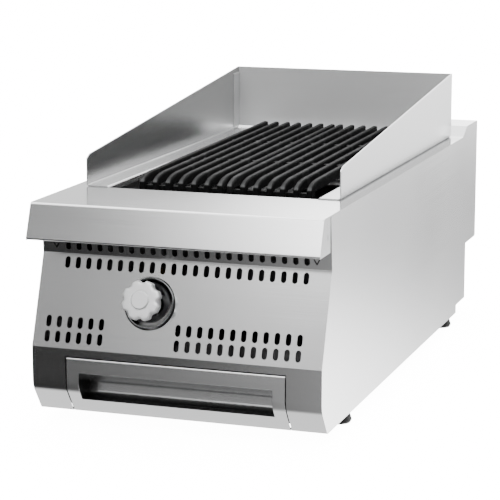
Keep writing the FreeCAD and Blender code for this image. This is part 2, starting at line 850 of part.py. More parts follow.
def back_screw_places():
    """Centres of the screws that hold the rear panel."""
    spread = half_width - 2 * back_screw_head - sheet
    low = step_z + 3 * back_screw_head
    high = back_box_height - 2 * back_screw_head
    heights = [low + (high - low) * row / (BACK_SCREW_ROWS - 1) for row in range(BACK_SCREW_ROWS)]
    places = [(side * spread, z) for side in (-1, 1) for z in heights]
    reach = float(inlet_flange_radius + back_screw_head)
    return [(x, z) for x, z in places if math.hypot(float(x - pipe_x), float(z - inlet_height)) > reach]


def rear_cover():
    """Floor and back of the box behind the cabinet, with a row of louvre slots."""
    cover = body("rear_cover")
    path = [
        (back_y, back_box_height),
        (rear, back_box_height),
        (rear, deck_height + riser_rise - riser_return),
    ]
    grow(cover, "YZ", -half_width, width, bent_sheet(path, sheet, 1))
    slot_z = deck_height - fold_drop
    slot = rectangle(
        (-flue_length / 2, slot_z), (-flue_length / 2 + flue_slot, slot_z + flue_width)
    )
    first = cut(cover, "XZ", rear - 3 * sheet, 4 * sheet, slot)
    repeat(cover, first, "X", flue_bar + flue_slot, FLUE_SLOTS)
    return cover


def flue_grille():
    """Slotted cover that drops into the flue outlet and rests on its rim."""
    grille = body("flue_grille")
    centre_y = rear - riser_depth / 2
    top_z = deck_height + riser_rise
    rim = rectangle(
        (-flue_length / 2 - flue_rim, centre_y - flue_width / 2 - flue_rim),
        (flue_length / 2 + flue_rim, centre_y + flue_width / 2 + flue_rim),
    )
    grow(grille, "XY", top_z, flue_plate, rim)
    plug = rectangle(
        (-flue_length / 2 + slip, centre_y - flue_width / 2 + slip),
        (flue_length / 2 - slip, centre_y + flue_width / 2 - slip),
    )
    grow(grille, "XY", top_z - flue_plate, flue_plate, plug)
    first_x = -flue_length / 2 + flue_bar
    slot = rectangle(
        (first_x, centre_y - flue_width / 2 + flue_rim),
        (first_x + flue_slot, centre_y + flue_width / 2 - flue_rim),
    )
    first = cut(grille, "XY", top_z - 2 * flue_plate, 4 * flue_plate, slot)
    repeat(grille, first, "X", flue_bar + flue_slot, FLUE_SLOTS)
    return grille


# ---------------------------------------------------------------- firebox

def firebox():
    """Four walls under the opening, with holes for the burner and pilot tubes and a row of flue slots."""
    walls = body("firebox")
    outer = rectangle((-fire_half - sheet, fire_front - sheet), (fire_half + sheet, fire_rear + sheet))
    grow(walls, "XY", fire_floor, deck_under - fire_floor, outer)
    inner = rectangle((-fire_half, fire_front), (fire_half, fire_rear))
    cut(walls, "XY", fire_floor - seam, deck_height - fire_floor + seam, inner)
    for centre, radius in shield_holes():
        cut(walls, "XZ", fire_front - 2 * sheet, 3 * sheet, circle(centre, radius))
    slot_x = -flue_length / 2
    slot = rectangle((slot_x, radiant_z + 2 * sheet), (slot_x + flue_slot, rear_shelf_z - gutter_drop))
    first = cut(walls, "XZ", fire_rear - sheet, 3 * sheet, slot)
    repeat(walls, first, "X", flue_bar + flue_slot, FLUE_SLOTS)
    return walls


def shield_holes():
    """Holes in the front wall and heat shield: centre and radius of each."""
    return [
        ((knob_offset, burner_z), venturi_mouth_radius + seam),
        ((pilot_x, burner_z - port_offset), small_tube_radius + seam),
    ]


def heat_shield():
    """Plate between the firebox and the gas valve, bent back at both ends to meet the firebox."""
    shield = body("heat_shield")
    plate_y = fire_front - shield_gap
    path = [
        (-fire_half, fire_front - sheet),
        (-fire_half, plate_y - sheet),
        (fire_half, plate_y - sheet),
        (fire_half, fire_front - sheet),
    ]
    height = deck_under - sheet - fire_floor
    grow(shield, "XY", fire_floor, height, bent_sheet(path, sheet, 1))
    for centre, radius in shield_holes():
        cut(shield, "XZ", plate_y - 2 * sheet, 3 * sheet, circle(centre, radius))
    return shield


def grease_funnel():
    """Tapered hopper under the firebox that drops fat into the drawer's pan."""
    funnel = body("grease_funnel")
    mouth_z = pan_top + funnel_gap
    height = fire_floor - mouth_z
    lower_half = pan_half - funnel_inset
    lower_rear = pan_rear - funnel_inset - sheet
    lower_front = fire_front + funnel_inset
    for wall, kind in ((0, "PartDesign::AdditiveLoft"), (1, "PartDesign::SubtractiveLoft")):
        inset = sheet * wall
        lower = attached_sketch(funnel, "XY", mouth_z)
        rectangle(
            (-lower_half + inset, lower_front + inset), (lower_half - inset, lower_rear - inset)
        )(lower)
        upper = attached_sketch(funnel, "XY", mouth_z + height)
        rectangle(
            (-fire_half - sheet + inset, fire_front - sheet + inset),
            (fire_half + sheet - inset, fire_rear + sheet - inset),
        )(upper)
        loft = funnel.newObject(kind, f"funnel_loft_{wall}")
        loft.Profile = lower
        loft.Sections = [upper]
        loft.Ruled = True
        doc.recompute()
    return funnel


def front_gutter():
    """Channel across the front of the firebox that catches fat and carries the grates."""
    gutter = body("front_gutter")
    channel_floor = deck_height - gutter_drop
    shelf_y = grate_front
    path = [
        (fire_front, channel_floor + gutter_wall),
        (fire_front, channel_floor),
        (shelf_y, channel_floor),
        (shelf_y, grate_shelf_z - sheet),
        (shelf_y + gutter_shelf, grate_shelf_z - sheet),
    ]
    length = 2 * (fire_half - slip)
    grow(gutter, "YZ", -fire_half + slip, length, bent_sheet(path, sheet, 1))
    drain = circle((fire_half - gutter_shelf, (fire_front + shelf_y) / 2), venturi_radius)
    cut(gutter, "XY", channel_floor - seam, 3 * sheet, drain)
    return gutter


def rear_shelf():
    """Angle across the back of the firebox that carries the grates' rear ends."""
    shelf = body("rear_shelf")
    path = [
        (fire_rear, rear_shelf_z - gutter_drop),
        (fire_rear, rear_shelf_z),
        (grate_rear - 2 * tie_width, rear_shelf_z),
    ]
    length = 2 * (fire_half - slip)
    grow(shelf, "YZ", -fire_half + slip, length, bent_sheet(path, sheet, 1))
    return shelf


def burner():
    """Two ported legs joined by a cross tube, fed by one mixing tube that opens behind the injector."""
    cross_y = burner_front
    shapes = {}
    for kind, shrink in (("outside", as_size(0)), ("inside", burner_wall)):
        leg_radius = burner_radius - shrink
        pieces = [
            rod(f"burner_leg_{kind}_{i}", (x, cross_y, burner_z), Vector(0, 1, 0), leg_radius,
                burner_rear - cross_y - shrink)
            for i, x in enumerate((-burner_leg_offset, burner_leg_offset))
        ]
        overhang = burner_cross_radius - shrink
        pieces.append(
            rod(f"burner_cross_{kind}", (-burner_leg_offset - overhang, cross_y, burner_z),
                Vector(1, 0, 0), burner_cross_radius - shrink, 2 * (burner_leg_offset + overhang))
        )
        neck_y = fire_front - venturi_reach + venturi_mouth_length
        pieces.append(
            rod(f"burner_mixer_{kind}", (knob_offset, neck_y, burner_z), Vector(0, 1, 0),
                venturi_radius - shrink, cross_y - neck_y)
        )
        mouth = doc.addObject("Part::Cone", f"burner_mouth_{kind}")
        mouth.Placement = Placement(Vector(), Rotation(Vector(0, 0, 1), Vector(0, 1, 0)))
        mouth.setExpression("Radius1", (venturi_mouth_radius - shrink).text)
        mouth.setExpression("Radius2", (venturi_radius - shrink).text)
        mouth.setExpression("Height", venturi_mouth_length.text)
        for name, value in zip("xyz", (knob_offset, fire_front - venturi_reach, burner_z)):
            mouth.setExpression(f"Placement.Base.{name}", as_size(value).text)
        pieces.append(mouth)
        shapes[kind] = fuse(f"burner_{kind}", pieces)
    ports = []
    for x in (-burner_leg_offset, burner_leg_offset):
        for side in (-1, 1):
            for i in range(PORTS):
                y = cross_y + port_pitch * (i + 1)
                name = f"port_{len(ports)}"
                ports.append(rod(name, (x + side * port_offset, y, burner_z), Vector(0, 0, 1),
                                 port_radius, 2 * burner_radius))
    shell = subtract("burner_shell", shapes["outside"], shapes["inside"])
    return subtract("burner", shell, group("burner_ports", ports))


def burner_saddles():
    """Two strips that carry the burner's legs, cut to the round of the tubes."""
    saddles = []
    for i, y in enumerate((burner_front + 2 * burner_radius, burner_rear - 2 * burner_radius)):
        strip = body(f"saddle_{i}")
        face = rectangle(
            (-fire_half + slip, burner_z - burner_radius - 2 * sheet), (fire_half - slip, burner_z)
        )
        grow(strip, "XZ", y, saddle_length, face)
        for x in (-burner_leg_offset, burner_leg_offset):
            notch = circle((x, burner_z), burner_radius + running_gap)
            cut(strip, "XZ", y - seam, saddle_length + 2 * seam, notch)
        saddles.append(strip)
    return group("burner_saddles", saddles)


def radiant(label, centre_x):
    """Folded deflector over one burner leg."""
    plate = body(label)
    path = [
        (centre_x - radiant_half_width, radiant_z),
        (centre_x, radiant_z + radiant_rise),
        (centre_x + radiant_half_width, radiant_z),
    ]
    start = fire_front + radiant_end_gap
    length = fire_rear - radiant_end_gap - start
    grow(plate, "XZ", start, length, bent_sheet(path, sheet, 1))
    return plate


def radiant_shelf_piece(label, low_y):
    """Ledge on a firebox wall that carries the radiants' ends."""
    shelf = body(label)
    top = radiant_z - slip
    face = rectangle((-fire_half + slip, top - sheet), (fire_half - slip, top))
    grow(shelf, "XZ", low_y, radiant_shelf, face)
    return shelf


# ---------------------------------------------------------------- grates

def grate(label, side):
    """Cast grate: sloping bars with rounded tops and a curved nose, on four cross ties."""
    casting = body(label)
    top_front = deck_height + bar_rise
    foot = grate_shelf_z + front_tie_rise
    nose_y = grate_front + nose_length
    nose_z = top_front - nose_height
    bar_bottom = top_front - bar_height
    slope = float(grate_slope / (grate_rear - nose_y))
    join_angle = math.pi / 2 + math.atan(slope * float(nose_length / nose_height))
    ellipse = Part.Ellipse(Vector(float(nose_y), float(nose_z), 0), float(nose_length), float(nose_height))
    nose = Part.ArcOfEllipse(ellipse, join_angle, math.pi)
    join = nose.StartPoint
    top_rear = join.y + slope * (float(grate_rear) - join.x)
    corners = [
        (grate_front, nose_z),
        (grate_front, foot),
        (grate_front + bar_height, foot),
        (grate_front + bar_height, bar_bottom),
        (grate_rear, bar_bottom + grate_slope),
        (grate_rear, top_rear),
        (join.x, join.y),
    ]
    points = [Vector(float(a), float(b), 0) for a, b in corners]
    profile = [Part.LineSegment(a, b) for a, b in zip(points, points[1:])] + [nose]
    first_x = grate_gap / 2 if side > 0 else -grate_gap / 2 - bar_pitch * (BARS - 1) - bar_width
    bar = grow(casting, "YZ", first_x, bar_width, outline(profile))
    rounding = casting.newObject("PartDesign::Fillet", f"{label}_rounding")
    rounding.Base = (bar, top_edges(bar.Shape, float(bar_bottom)))
    rounding.setExpression("Radius", bar_rounding.text)
    doc.recompute()
    repeat_whole_bar(casting, [bar, rounding])
    span = bar_pitch * (BARS - 1) + bar_width
    run = grate_rear - grate_front
    ties = [
        (grate_front + front_tie_setback, grate_shelf_z, front_tie_height),
        (grate_front + run / 3, bar_bottom + grate_slope / 3 - seam, tie_height),
        (grate_front + run * 2 / 3, bar_bottom + grate_slope * 2 / 3 - seam, tie_height),
        (grate_rear - tie_width - front_tie_rise, rear_shelf_z, bar_height),
    ]
    for y, z, height in ties:
        face = rectangle((y, z), (y + tie_width, z + height))
        grow(casting, "YZ", first_x, span, face)
    return casting


def top_edges(shape, level):
    """Names of the long edges along the top of a bar, on both of its side faces."""
    names = []
    for i, edge in enumerate(shape.Edges):
        box = edge.BoundBox
        along_side = box.XLength < 1e-6 and box.YLength > float(nose_length) / 2
        if along_side and box.ZMin > level + 1:
            names.append(f"Edge{i + 1}")
    return names


def repeat_whole_bar(casting, features):
    """Repeat the first bar with its rounding across the grate."""
    pattern = casting.newObject("PartDesign::LinearPattern", f"{casting.Name}_bars")
    pattern.Originals = features
    line = next(f for f in casting.Origin.OriginFeatures if f.Role == "X_Axis")
    pattern.Direction = (line, [""])
    pattern.Occurrences = BARS
    pattern.setExpression("Length", (bar_pitch * (BARS - 1)).text)
    casting.Tip = pattern
    doc.recompute()


# ---------------------------------------------------------------- splash guard

guard_half = opening_half - guard_slip + guard_flange
guard_front = opening_front + seam
guard_back = opening_rear - guard_slip + guard_back_flange
guard_base = deck_height
guard_lip = rear_shelf_drop - seam


def guard_side(label, side):
    """Side of the splash guard: sloping wall, flange on the deck and lip into the opening."""
    wall = body(label)
    lip_x = opening_half - guard_slip
    path = [
        (side * guard_half, guard_base + guard_back_height),
        (side * guard_half, guard_base),
        (side * lip_x, guard_base),
        (side * lip_x, guard_base - guard_lip),
    ]
    length = guard_back - guard_front
    folds = [0, float(bend) + 1, float(bend), 0]
    grow(wall, "XZ", guard_front, length, bent_sheet(path, sheet, -side, folds))
    top = guard_base + guard_back_height
    waste = [
        (guard_front - seam, guard_base + guard_front_height - guard_corner_cut),
        (guard_front, guard_base + guard_front_height - guard_corner_cut),
        (guard_front + guard_corner_cut * 2, guard_base + guard_front_height),
        (guard_back, top),
        (guard_back, top + seam),
        (guard_front - seam, top + seam),
    ]
    wall_start = -guard_half - seam if side < 0 else guard_half - 2 * sheet
    cut(wall, "YZ", wall_start, 3 * sheet, closed(waste))
    lip_start = -lip_x - sheet if side < 0 else lip_x - 2 * sheet
    lip_waste = rectangle(
        (opening_rear - guard_slip - sheet, guard_base - guard_lip - seam),
        (guard_back, guard_base),
    )
    cut(wall, "YZ", lip_start, 3 * sheet, lip_waste)
    return wall


def guard_back_piece():
    """Back of the splash guard: wall, flange and lip, with an ear behind each side wall."""
    wall = body("guard_back")
    lip_y = opening_rear - guard_slip
    wall_half = guard_half - sheet
    wall_low = guard_base + 2 * sheet + bend
    upper = rectangle((-wall_half, wall_low), (wall_half, guard_base + guard_back_height))
    grow(wall, "XZ", guard_back - sheet, sheet, upper)
    path = [
        (guard_back, wall_low),
        (guard_back, guard_base),
        (lip_y, guard_base),
        (lip_y, guard_base - guard_lip),
    ]
    flange_half = opening_half - guard_slip - sheet - slip
    grow(wall, "YZ", -flange_half, 2 * flange_half, bent_sheet(path, sheet, -1))
    for start in (-wall_half, wall_half - sheet):
        ear = rectangle(
            (guard_back - guard_back_flange, wall_low),
            (guard_back - sheet / 2, guard_base + guard_back_height - guard_corner_cut * 2),
        )
        grow(wall, "YZ", start, sheet, ear)
    return wall


# ---------------------------------------------------------------- gas valve and knob

KNOB_PLACE = Placement(
    Vector(float(knob_offset), float(knob_y), float(knob_z)),
    Rotation(Vector(1, 0, 0), 90 - math.degrees(panel_angle)),
)
KNOB_AXIS = Vector(0, -math.cos(panel_angle), math.sin(panel_angle))


def along_knob_axis(distance):
    """A point on the knob's axis, counted outwards from the face of the panel."""
    distance = as_size(distance)
    return (
        knob_offset,
        knob_y - distance * round(math.cos(panel_angle), 6),
        knob_z + distance * round(math.sin(panel_angle), 6),
    )


def axis_rod(label, start, radius, length):
    """A cylinder on the knob's axis."""
    return rod(label, along_knob_axis(start), KNOB_AXIS, radius, length)


def revolve(owner, draw):
    """Turn a drawing of radius and height about the body's own upright axis."""
    sketch = attached_sketch(owner, "XZ", 0)
    draw(sketch)
    turned = owner.newObject("PartDesign::Revolution", f"{owner.Name}_turned")
    turned.Profile = sketch
    turned.ReferenceAxis = (sketch, ["V_Axis"])
    turned.Angle = 360
    doc.recompute()
    return turned


valve_centre = -bracket_back - bonnet_length - valve_length / 2 + seam
valve_x, valve_y, valve_z = along_knob_axis(valve_centre)
valve_front = valve_centre + valve_length / 2
spindle_low = valve_front - plunger_disc


def knob_bezel():
    """Bright dished ring around the knob, dropped into its hole in the panel."""
    ring = body("knob_bezel")
    floor_hole = spindle_radius + bezel_rim
    profile = [
        (floor_hole, -bezel_depth),
        (bezel_floor, -bezel_depth),
        (bezel_throat, -sheet),
        (bezel_throat, 0),
        (bezel_radius, 0),
        (bezel_radius - seam, bezel_edge),
        (bezel_radius - 2 * seam, bezel_rim),
        (bezel_radius - 3 * seam, bezel_rim),
        (bezel_throat - 2 * seam, -seam),
        (bezel_floor, thin_sheet - bezel_depth),
        (floor_hole, thin_sheet - bezel_depth),
    ]
    revolve(ring, closed(profile))
    ring.Placement = KNOB_PLACE
    return ring


def knob():
    """Control knob: scalloped head on a narrower neck, bored for the spindle."""
    head = body("knob")
    low = knob_top - knob_thickness
    grow(head, "XY", low, knob_thickness, circle((0, 0), knob_radius))
    reach = knob_radius + knob_scallop - knob_scallop_depth
    scallop = cut(head, "XY", low - seam, knob_thickness + 2 * seam, circle((reach, 0), knob_scallop))
    around = head.newObject("PartDesign::PolarPattern", "knob_scallops")
    around.Originals = [scallop]
    around.Axis = (scallop.Profile[0], ["N_Axis"])
    around.Angle = 360
    around.Occurrences = KNOB_LOBES
    head.Tip = around
    doc.recompute()
    edges = [
        f"Edge{i + 1}" for i, edge in enumerate(around.Shape.Edges)
        if edge.BoundBox.ZMin > float(knob_top) - 1e-6
    ]
    rounding = head.newObject("PartDesign::Fillet", "knob_rounding")
    rounding.Base = (around, edges)
    rounding.setExpression("Radius", knob_edge.text)
    doc.recompute()
    grow(head, "XY", knob_neck_start, low - knob_neck_start, circle((0, 0), knob_neck_radius))
    bore = circle((0, 0), spindle_radius + running_gap)
    cut(head, "XY", knob_neck_start - seam, spindle_end - knob_neck_start + 2 * seam, bore)
    head.Placement = KNOB_PLACE
    return head


def knob_cap():
    """Round inlay on the front of the knob, with a bevelled edge."""
    cap = body("knob_cap")
    disc = grow(cap, "XY", knob_top, knob_cap_height, circle((0, 0), knob_cap_radius))
    top = [
        f"Edge{i + 1}" for i, edge in enumerate(disc.Shape.Edges)
        if edge.BoundBox.ZMin > float(knob_top + knob_cap_height) - 1e-6
    ]
    bevel = cap.newObject("PartDesign::Chamfer", "knob_cap_bevel")
    bevel.Base = (disc, top)
    bevel.setExpression("Size", (knob_cap_height / 2).text)
    doc.recompute()
    cap.Placement = KNOB_PLACE
    return cap


def valve_spindle():
    """Shaft from the plunger to the knob."""
    return axis_rod("valve_spindle", spindle_low, spindle_radius, spindle_end - spindle_low)


def valve_bonnet():
    """Neck of the valve: passes through the bracket and guides the spindle."""
    neck = axis_rod("bonnet_neck", valve_front, bonnet_radius, -bracket_back + seam - valve_front)
    collar_length = bonnet_length / 2
    collar = axis_rod("bonnet_collar", -bracket_back - sheet - collar_length, valve_radius, collar_length)
    bore = axis_rod("bonnet_bore", valve_front - seam, spindle_radius + running_gap,
                    bonnet_length + 2 * seam)
    return subtract("valve_bonnet", fuse("bonnet_outside", [neck, collar]), bore)


def bonnet_nut():
    """Thin ring nut that clamps the bonnet to the bracket."""
    nut = axis_rod("bonnet_nut_disc", -bracket_back, valve_radius, nut_length)
    bore = axis_rod("bonnet_nut_bore", -bracket_back - seam, bonnet_radius + running_gap,
                    nut_length + 2 * seam)
    return subtract("bonnet_nut", nut, bore)


def valve_bracket():
    """Channel behind the panel that carries the valve."""
    bracket = body("valve_bracket")
    half = bezel_throat + bracket_gap
    path = [
        (-half - bracket_foot, -2 * sheet),
        (-half, -2 * sheet),
        (-half, -bracket_back - sheet),
        (half, -bracket_back - sheet),
        (half, -2 * sheet),
        (half + bracket_foot, -2 * sheet),
    ]
    folds = [0, *[float(sharp_bend)] * 4, 0]
    grow(bracket, "YZ", -bracket_width / 2, bracket_width, bent_sheet(path, sheet, 1, folds))
    hole = circle((0, 0), bonnet_radius + screw_clearance)
    cut(bracket, "XY", -bracket_back - 2 * sheet, 3 * sheet, hole)
    bracket.Placement = KNOB_PLACE
    return bracket


def valve_body():
    """Gas valve: bored barrel on the knob's axis, inlet to the side, outlet on top, pilot take-off."""
    low = valve_centre - valve_length / 2
    barrel = axis_rod("valve_barrel", low, valve_radius, valve_length)
    inlet = rod("valve_inlet", (valve_x, valve_y, valve_z), Vector(1, 0, 0), inlet_boss, inlet_reach)
    outlet = rod("valve_outlet", (valve_x, valve_y, valve_z), Vector(0, 0, 1), valve_boss, outlet_rise)
    pilot = rod("valve_pilot_boss", (valve_x, valve_y, valve_z), Vector(-1, 0, 0), feed_radius, pilot_boss)
    outside = fuse("valve_outside", [barrel, inlet, outlet, pilot])
    core_low = valve_centre - valve_length / 2 + valve_wall
    core = axis_rod("valve_core", core_low, valve_radius - valve_wall, valve_length)
    ways = [
        rod("valve_inlet_way", (valve_x, valve_y, valve_z), Vector(1, 0, 0),
            supply_radius - supply_wall, inlet_reach + seam),
        rod("valve_outlet_way", (valve_x, valve_y, valve_z), Vector(0, 0, 1),
            feed_radius - supply_wall, outlet_rise + seam),
        rod("valve_pilot_way", (valve_x, valve_y, valve_z), Vector(-1, 0, 0),
            small_tube_radius / 2, pilot_boss + seam),
    ]
    return subtract("valve_body", outside, fuse("valve_hollow", [core, *ways]))


def valve_plunger():
    """Disc and rod that the spindle presses against the spring."""
    disc = axis_rod("plunger_disc_part", spindle_low - plunger_disc, plunger_radius, plunger_disc)
    stem = axis_rod("plunger_stem", spindle_low - plunger_disc - plunger_rod_length, plunger_rod_radius,
                    plunger_rod_length)
    return fuse("valve_plunger", [disc, stem])


def valve_spring():
    """Coil spring of square wire around the plunger's rod, at its length at rest."""
    length = float(plunger_rod_length)
    pitch = (length - 2 * float(spring_wire)) / float(spring_turns)
    helix = Part.makeHelix(pitch, pitch * float(spring_turns), float(spring_radius))
    inner = float(spring_radius - spring_wire / 2)
    outer = float(spring_radius + spring_wire / 2)
    reach = float(spring_wire / 2)
    section = [(inner, -reach), (outer, -reach), (outer, reach), (inner, reach), (inner, -reach)]
    ring = Part.makePolygon([Vector(x, 0, z) for x, z in section])
    spring = doc.addObject("Part::Feature", "valve_spring")
    spring.Shape = Part.Wire(helix.Edges).makePipeShell([ring], True, True)
    start = along_knob_axis(spindle_low - plunger_disc - plunger_rod_length + spring_wire)
    spring.Placement = Placement(Vector(*[float(v) for v in start]), KNOB_PLACE.Rotation)
    return spring


# ---------------------------------------------------------------- gas train

feed_z = valve_z + outlet_rise
injector_z = feed_z + feed_length


def hollow_pipe(label, route, radius, wall, bend_radius):
    """A bent pipe along straight runs joined by arcs."""
    pipe = doc.addObject("Part::Feature", label)
    outside = smooth_bar(route, radius, bend_radius)
    pipe.Shape = outside.cut(smooth_bar(route, radius - wall, bend_radius))
    return pipe


def burner_feed_pipe():
    """Short upright pipe from the valve's outlet to the injector."""
    outside = rod("feed_outside", (valve_x, valve_y, feed_z), Vector(0, 0, 1), feed_radius, feed_length)
    bore = rod("feed_bore", (valve_x, valve_y, feed_z - seam), Vector(0, 0, 1),
               feed_radius - supply_wall, feed_length + 2 * seam)
    return subtract("burner_feed_pipe", outside, bore)


def injector():
    """Elbow whose nozzle blows gas into the burner's open mouth."""
    elbow = rod("injector_elbow", (valve_x, valve_y, injector_z), Vector(0, 0, 1), injector_radius,
                burner_z - injector_z + injector_rise)
    nozzle = rod("injector_nozzle", (valve_x, valve_y, burner_z), Vector(0, 1, 0), nozzle_radius,
                 injector_radius + nozzle_length)
    riser = rod("injector_riser", (valve_x, valve_y, injector_z - seam), Vector(0, 0, 1),
                feed_radius - supply_wall, burner_z - injector_z + seam)
    jet = rod("injector_jet", (valve_x, valve_y, burner_z), Vector(0, 1, 0), jet_radius,
              injector_radius + nozzle_length + seam)
    outside = fuse("injector_outside", [elbow, nozzle])
    return subtract("injector", outside, fuse("injector_way", [riser, jet]))


def gas_supply_pipe():
    """Pipe from the inlet at the back, along the right side, to the valve."""
    pipe_y = fire_rear + supply_side_gap
    route = [
        (valve_x + inlet_reach, valve_y, valve_z),
        (pipe_x, valve_y, valve_z),
        (pipe_x, pipe_y, valve_z),
        (pipe_x, pipe_y, inlet_height),
        (pipe_x, inlet_start, inlet_height),
    ]
    return hollow_pipe("gas_supply_pipe", route, supply_radius, supply_wall, supply_bend_end)


def gas_inlet():
    """Fitting through the rear panel: flange inside, shank for the lock nut, relief and plain thread."""
    backward = Vector(0, 1, 0)
    steps = [
        ("flange", inlet_flange_radius, inlet_flange_length),
        ("shank", inlet_shank_radius, sheet + lock_nut_length + seam),
        ("relief", inlet_relief_radius, inlet_relief_length),
        ("thread", inlet_thread_radius, inlet_thread_length),
    ]
    y = inlet_start
    pieces = []
    for name, radius, length in steps:
        pieces.append(rod(f"inlet_{name}", (pipe_x, y, inlet_height), backward, radius, length))
        y = y + length
    bore_start = (pipe_x, inlet_start - seam, inlet_height)
    bore = rod("inlet_way", bore_start, backward, inlet_bore, y - inlet_start + 2 * seam)
    return subtract("gas_inlet", fuse("inlet_outside", pieces), bore)


def gas_lock_nut():
    """Six-sided nut that clamps the inlet to the rear panel."""
    nut = doc.addObject("Part::Prism", "inlet_nut_outside")
    nut.Polygon = 6
    nut.setExpression("Circumradius", (inlet_flange_radius + seam).text)
    nut.setExpression("Height", lock_nut_length.text)
    nut.Placement = Placement(Vector(), Rotation(Vector(0, 0, 1), Vector(0, 1, 0)))
    for name, value in zip("xyz", (pipe_x, back_y, inlet_height)):
        nut.setExpression(f"Placement.Base.{name}", value.text)
    bore = rod("inlet_nut_bore", (pipe_x, back_y - seam, inlet_height), Vector(0, 1, 0),
               inlet_shank_radius + running_gap, lock_nut_length + 2 * seam)
    return subtract("gas_lock_nut", nut, bore)


def pilot_burner():
    """Small standing flame: a tube with a hood, on a tab against the firebox wall."""
    tab_half = pilot_radius + tab_margin
    pilot_z = burner_z - port_offset
    tab = block("pilot_tab", (pilot_x - tab_half, fire_front, pilot_z - tab_half),
                (2 * tab_half, sheet, 2 * tab_half))
    tube = rod("pilot_barrel", (pilot_x, fire_front, pilot_z), Vector(0, 1, 0), pilot_radius, pilot_length)
    bore = rod("pilot_bore", (pilot_x, fire_front - seam, pilot_z), Vector(0, 1, 0),
               small_tube_radius, pilot_length + 2 * seam)
    return subtract("pilot_burner", fuse("pilot_outside", [tab, tube]), bore)


def pilot_tube():
    """Thin tube from the valve's side boss to the pilot."""
    pilot_z = burner_z - port_offset
    route = [
        (valve_x - pilot_boss, valve_y, valve_z),
        (pilot_x, valve_y, valve_z),
        (pilot_x, valve_y, pilot_z),
        (pilot_x, fire_front, pilot_z),
    ]
    return hollow_pipe("pilot_tube", route, small_tube_radius, small_tube_radius / 2, small_tube_bend)


# ---------------------------------------------------------------- drip drawer

grip_half = drawer_half - grip_margin
grip_top = drawer_top - grip_top_drop
grip_bottom = foot_height + grip_bottom_rise
toe_turn = math.atan2(float(toe_y - crease_y), float(fascia_bend_height - floor_of_body))
cheek_low = fascia_bend_height + fascia_bend * round(math.tan(toe_turn / 2), 6)
cheek_top = drawer_top - sheet - sharp_bend

DRAWER_PATH = [
    (crease_y + drawer_top_return, drawer_top),
    (crease_y, drawer_top),
    (crease_y, fascia_bend_height),
    (toe_y, floor_of_body),
    (toe_y + drawer_toe_return, floor_of_body),
]
DRAWER_BENDS = [0.0, *map(float, (sharp_bend, fascia_bend, toe_bend)), 0.0]


def drawer_front():
    """Front of the drawer: follows the fascia's bend, with a grip opening."""
    front_sheet = body("drawer_front")
    grow(front_sheet, "YZ", -drawer_half, drawer_width, bent_sheet(DRAWER_PATH, sheet, 1, DRAWER_BENDS))
    grip = rectangle((-grip_half, grip_bottom), (grip_half, grip_top))
    cut(front_sheet, "XZ", front, toe_setback, grip)
    return front_sheet


def drawer_cheek(label, side):
    """Upright plate behind one end of the drawer's front, riveted to the pan."""
    plate = body(label)
    face = rectangle((crease_y + sheet, cheek_low), (crease_y + cheek_depth, cheek_top))
    start = -drawer_half if side < 0 else drawer_half - sheet
    grow(plate, "YZ", start, sheet, face)
    for y, z in drawer_rivet_places():
        cut(plate, "YZ", start - seam, sheet + 2 * seam, circle((y, z), rivet_radius + running_gap))
    return plate


def drawer_rivet_places():
    """Rivets through the cheeks and the pan's sides, as depth and height."""
    y = (pan_start + pan_bend + crease_y + cheek_depth) / 2
    return [(y, cheek_low + (pan_top - cheek_low) * share) for share in (0.25, 0.75)]


def grip_scoop():
    """Curved pocket for the fingers behind the grip opening, closed at both ends."""
    scoop = body("grip_scoop")
    back = crease_y + grip_depth
    face = crease_y + sheet
    path = [
        (face, grip_top + sheet),
        (back - grip_round, grip_top + sheet),
        (back, (grip_top + grip_bottom) / 2),
        (back - grip_round / 2, grip_bottom + sheet),
        (crease_y + grip_lip_setback, grip_bottom - seam),
    ]
    folds = [0, float(grip_round), float(grip_round), float(grip_round), 0]
    length = 2 * (grip_half + seam)
    grow(scoop, "YZ", -grip_half - seam, length, bent_sheet(path, thin_sheet, 1, folds))
    end = [*path, (face, (grip_top + grip_bottom) / 2)]
    grow(scoop, "YZ", -grip_half - seam, thin_sheet, closed(end))
    grow(scoop, "YZ", grip_half + seam - thin_sheet, thin_sheet, closed(end))
    sheet_back = both_faces(DRAWER_PATH, sheet, 1, DRAWER_BENDS)[1]
    in_front = [
        sheet_back[-1].EndPoint,
        Vector(float(toe_y + drawer_toe_return), float(floor_of_body - seam), 0),
        Vector(float(front - seam), float(floor_of_body - seam), 0),
        Vector(float(front - seam), float(drawer_top + seam), 0),
        Vector(float(crease_y + drawer_top_return), float(drawer_top + seam), 0),
        sheet_back[0].StartPoint,
    ]
    waste = sheet_back + [Part.LineSegment(a, b) for a, b in zip(in_front, in_front[1:])]
    cut(scoop, "YZ", -grip_half - 2 * seam, length + 2 * seam, outline(waste))
    return scoop


def tray_path():
    """Outer face of the folded tray, from its front edge down, along the floor and up again."""
    return [(pan_start, pan_top), (pan_start, pan_floor), (pan_rear, pan_floor), (pan_rear, pan_top)]


def drip_pan():
    """Open tray under the funnel, folded up at the front and the rear."""
    pan = body("drip_pan")
    half = pan_half - thin_sheet
    folds = [float(pan_bend)] * len(tray_path())
    grow(pan, "YZ", -half, 2 * half, bent_sheet(tray_path(), thin_sheet, 1, folds))
    return pan


def pan_side(label, side):
    """Flat side of the tray, welded to the folded sheet all along its edge."""
    plate = body(label)
    folds = [float(pan_bend)] * len(tray_path())
    edge = both_faces(tray_path(), thin_sheet, 1, folds)[0]
    top = Part.LineSegment(edge[-1].EndPoint, edge[0].StartPoint)
    start = -pan_half if side < 0 else pan_half - thin_sheet
    grow(plate, "YZ", start, thin_sheet, outline(edge + [top]))
    for y, z in drawer_rivet_places():
        cut(plate, "YZ", start - seam, thin_sheet + 2 * seam, circle((y, z), rivet_radius + running_gap))
    return plate


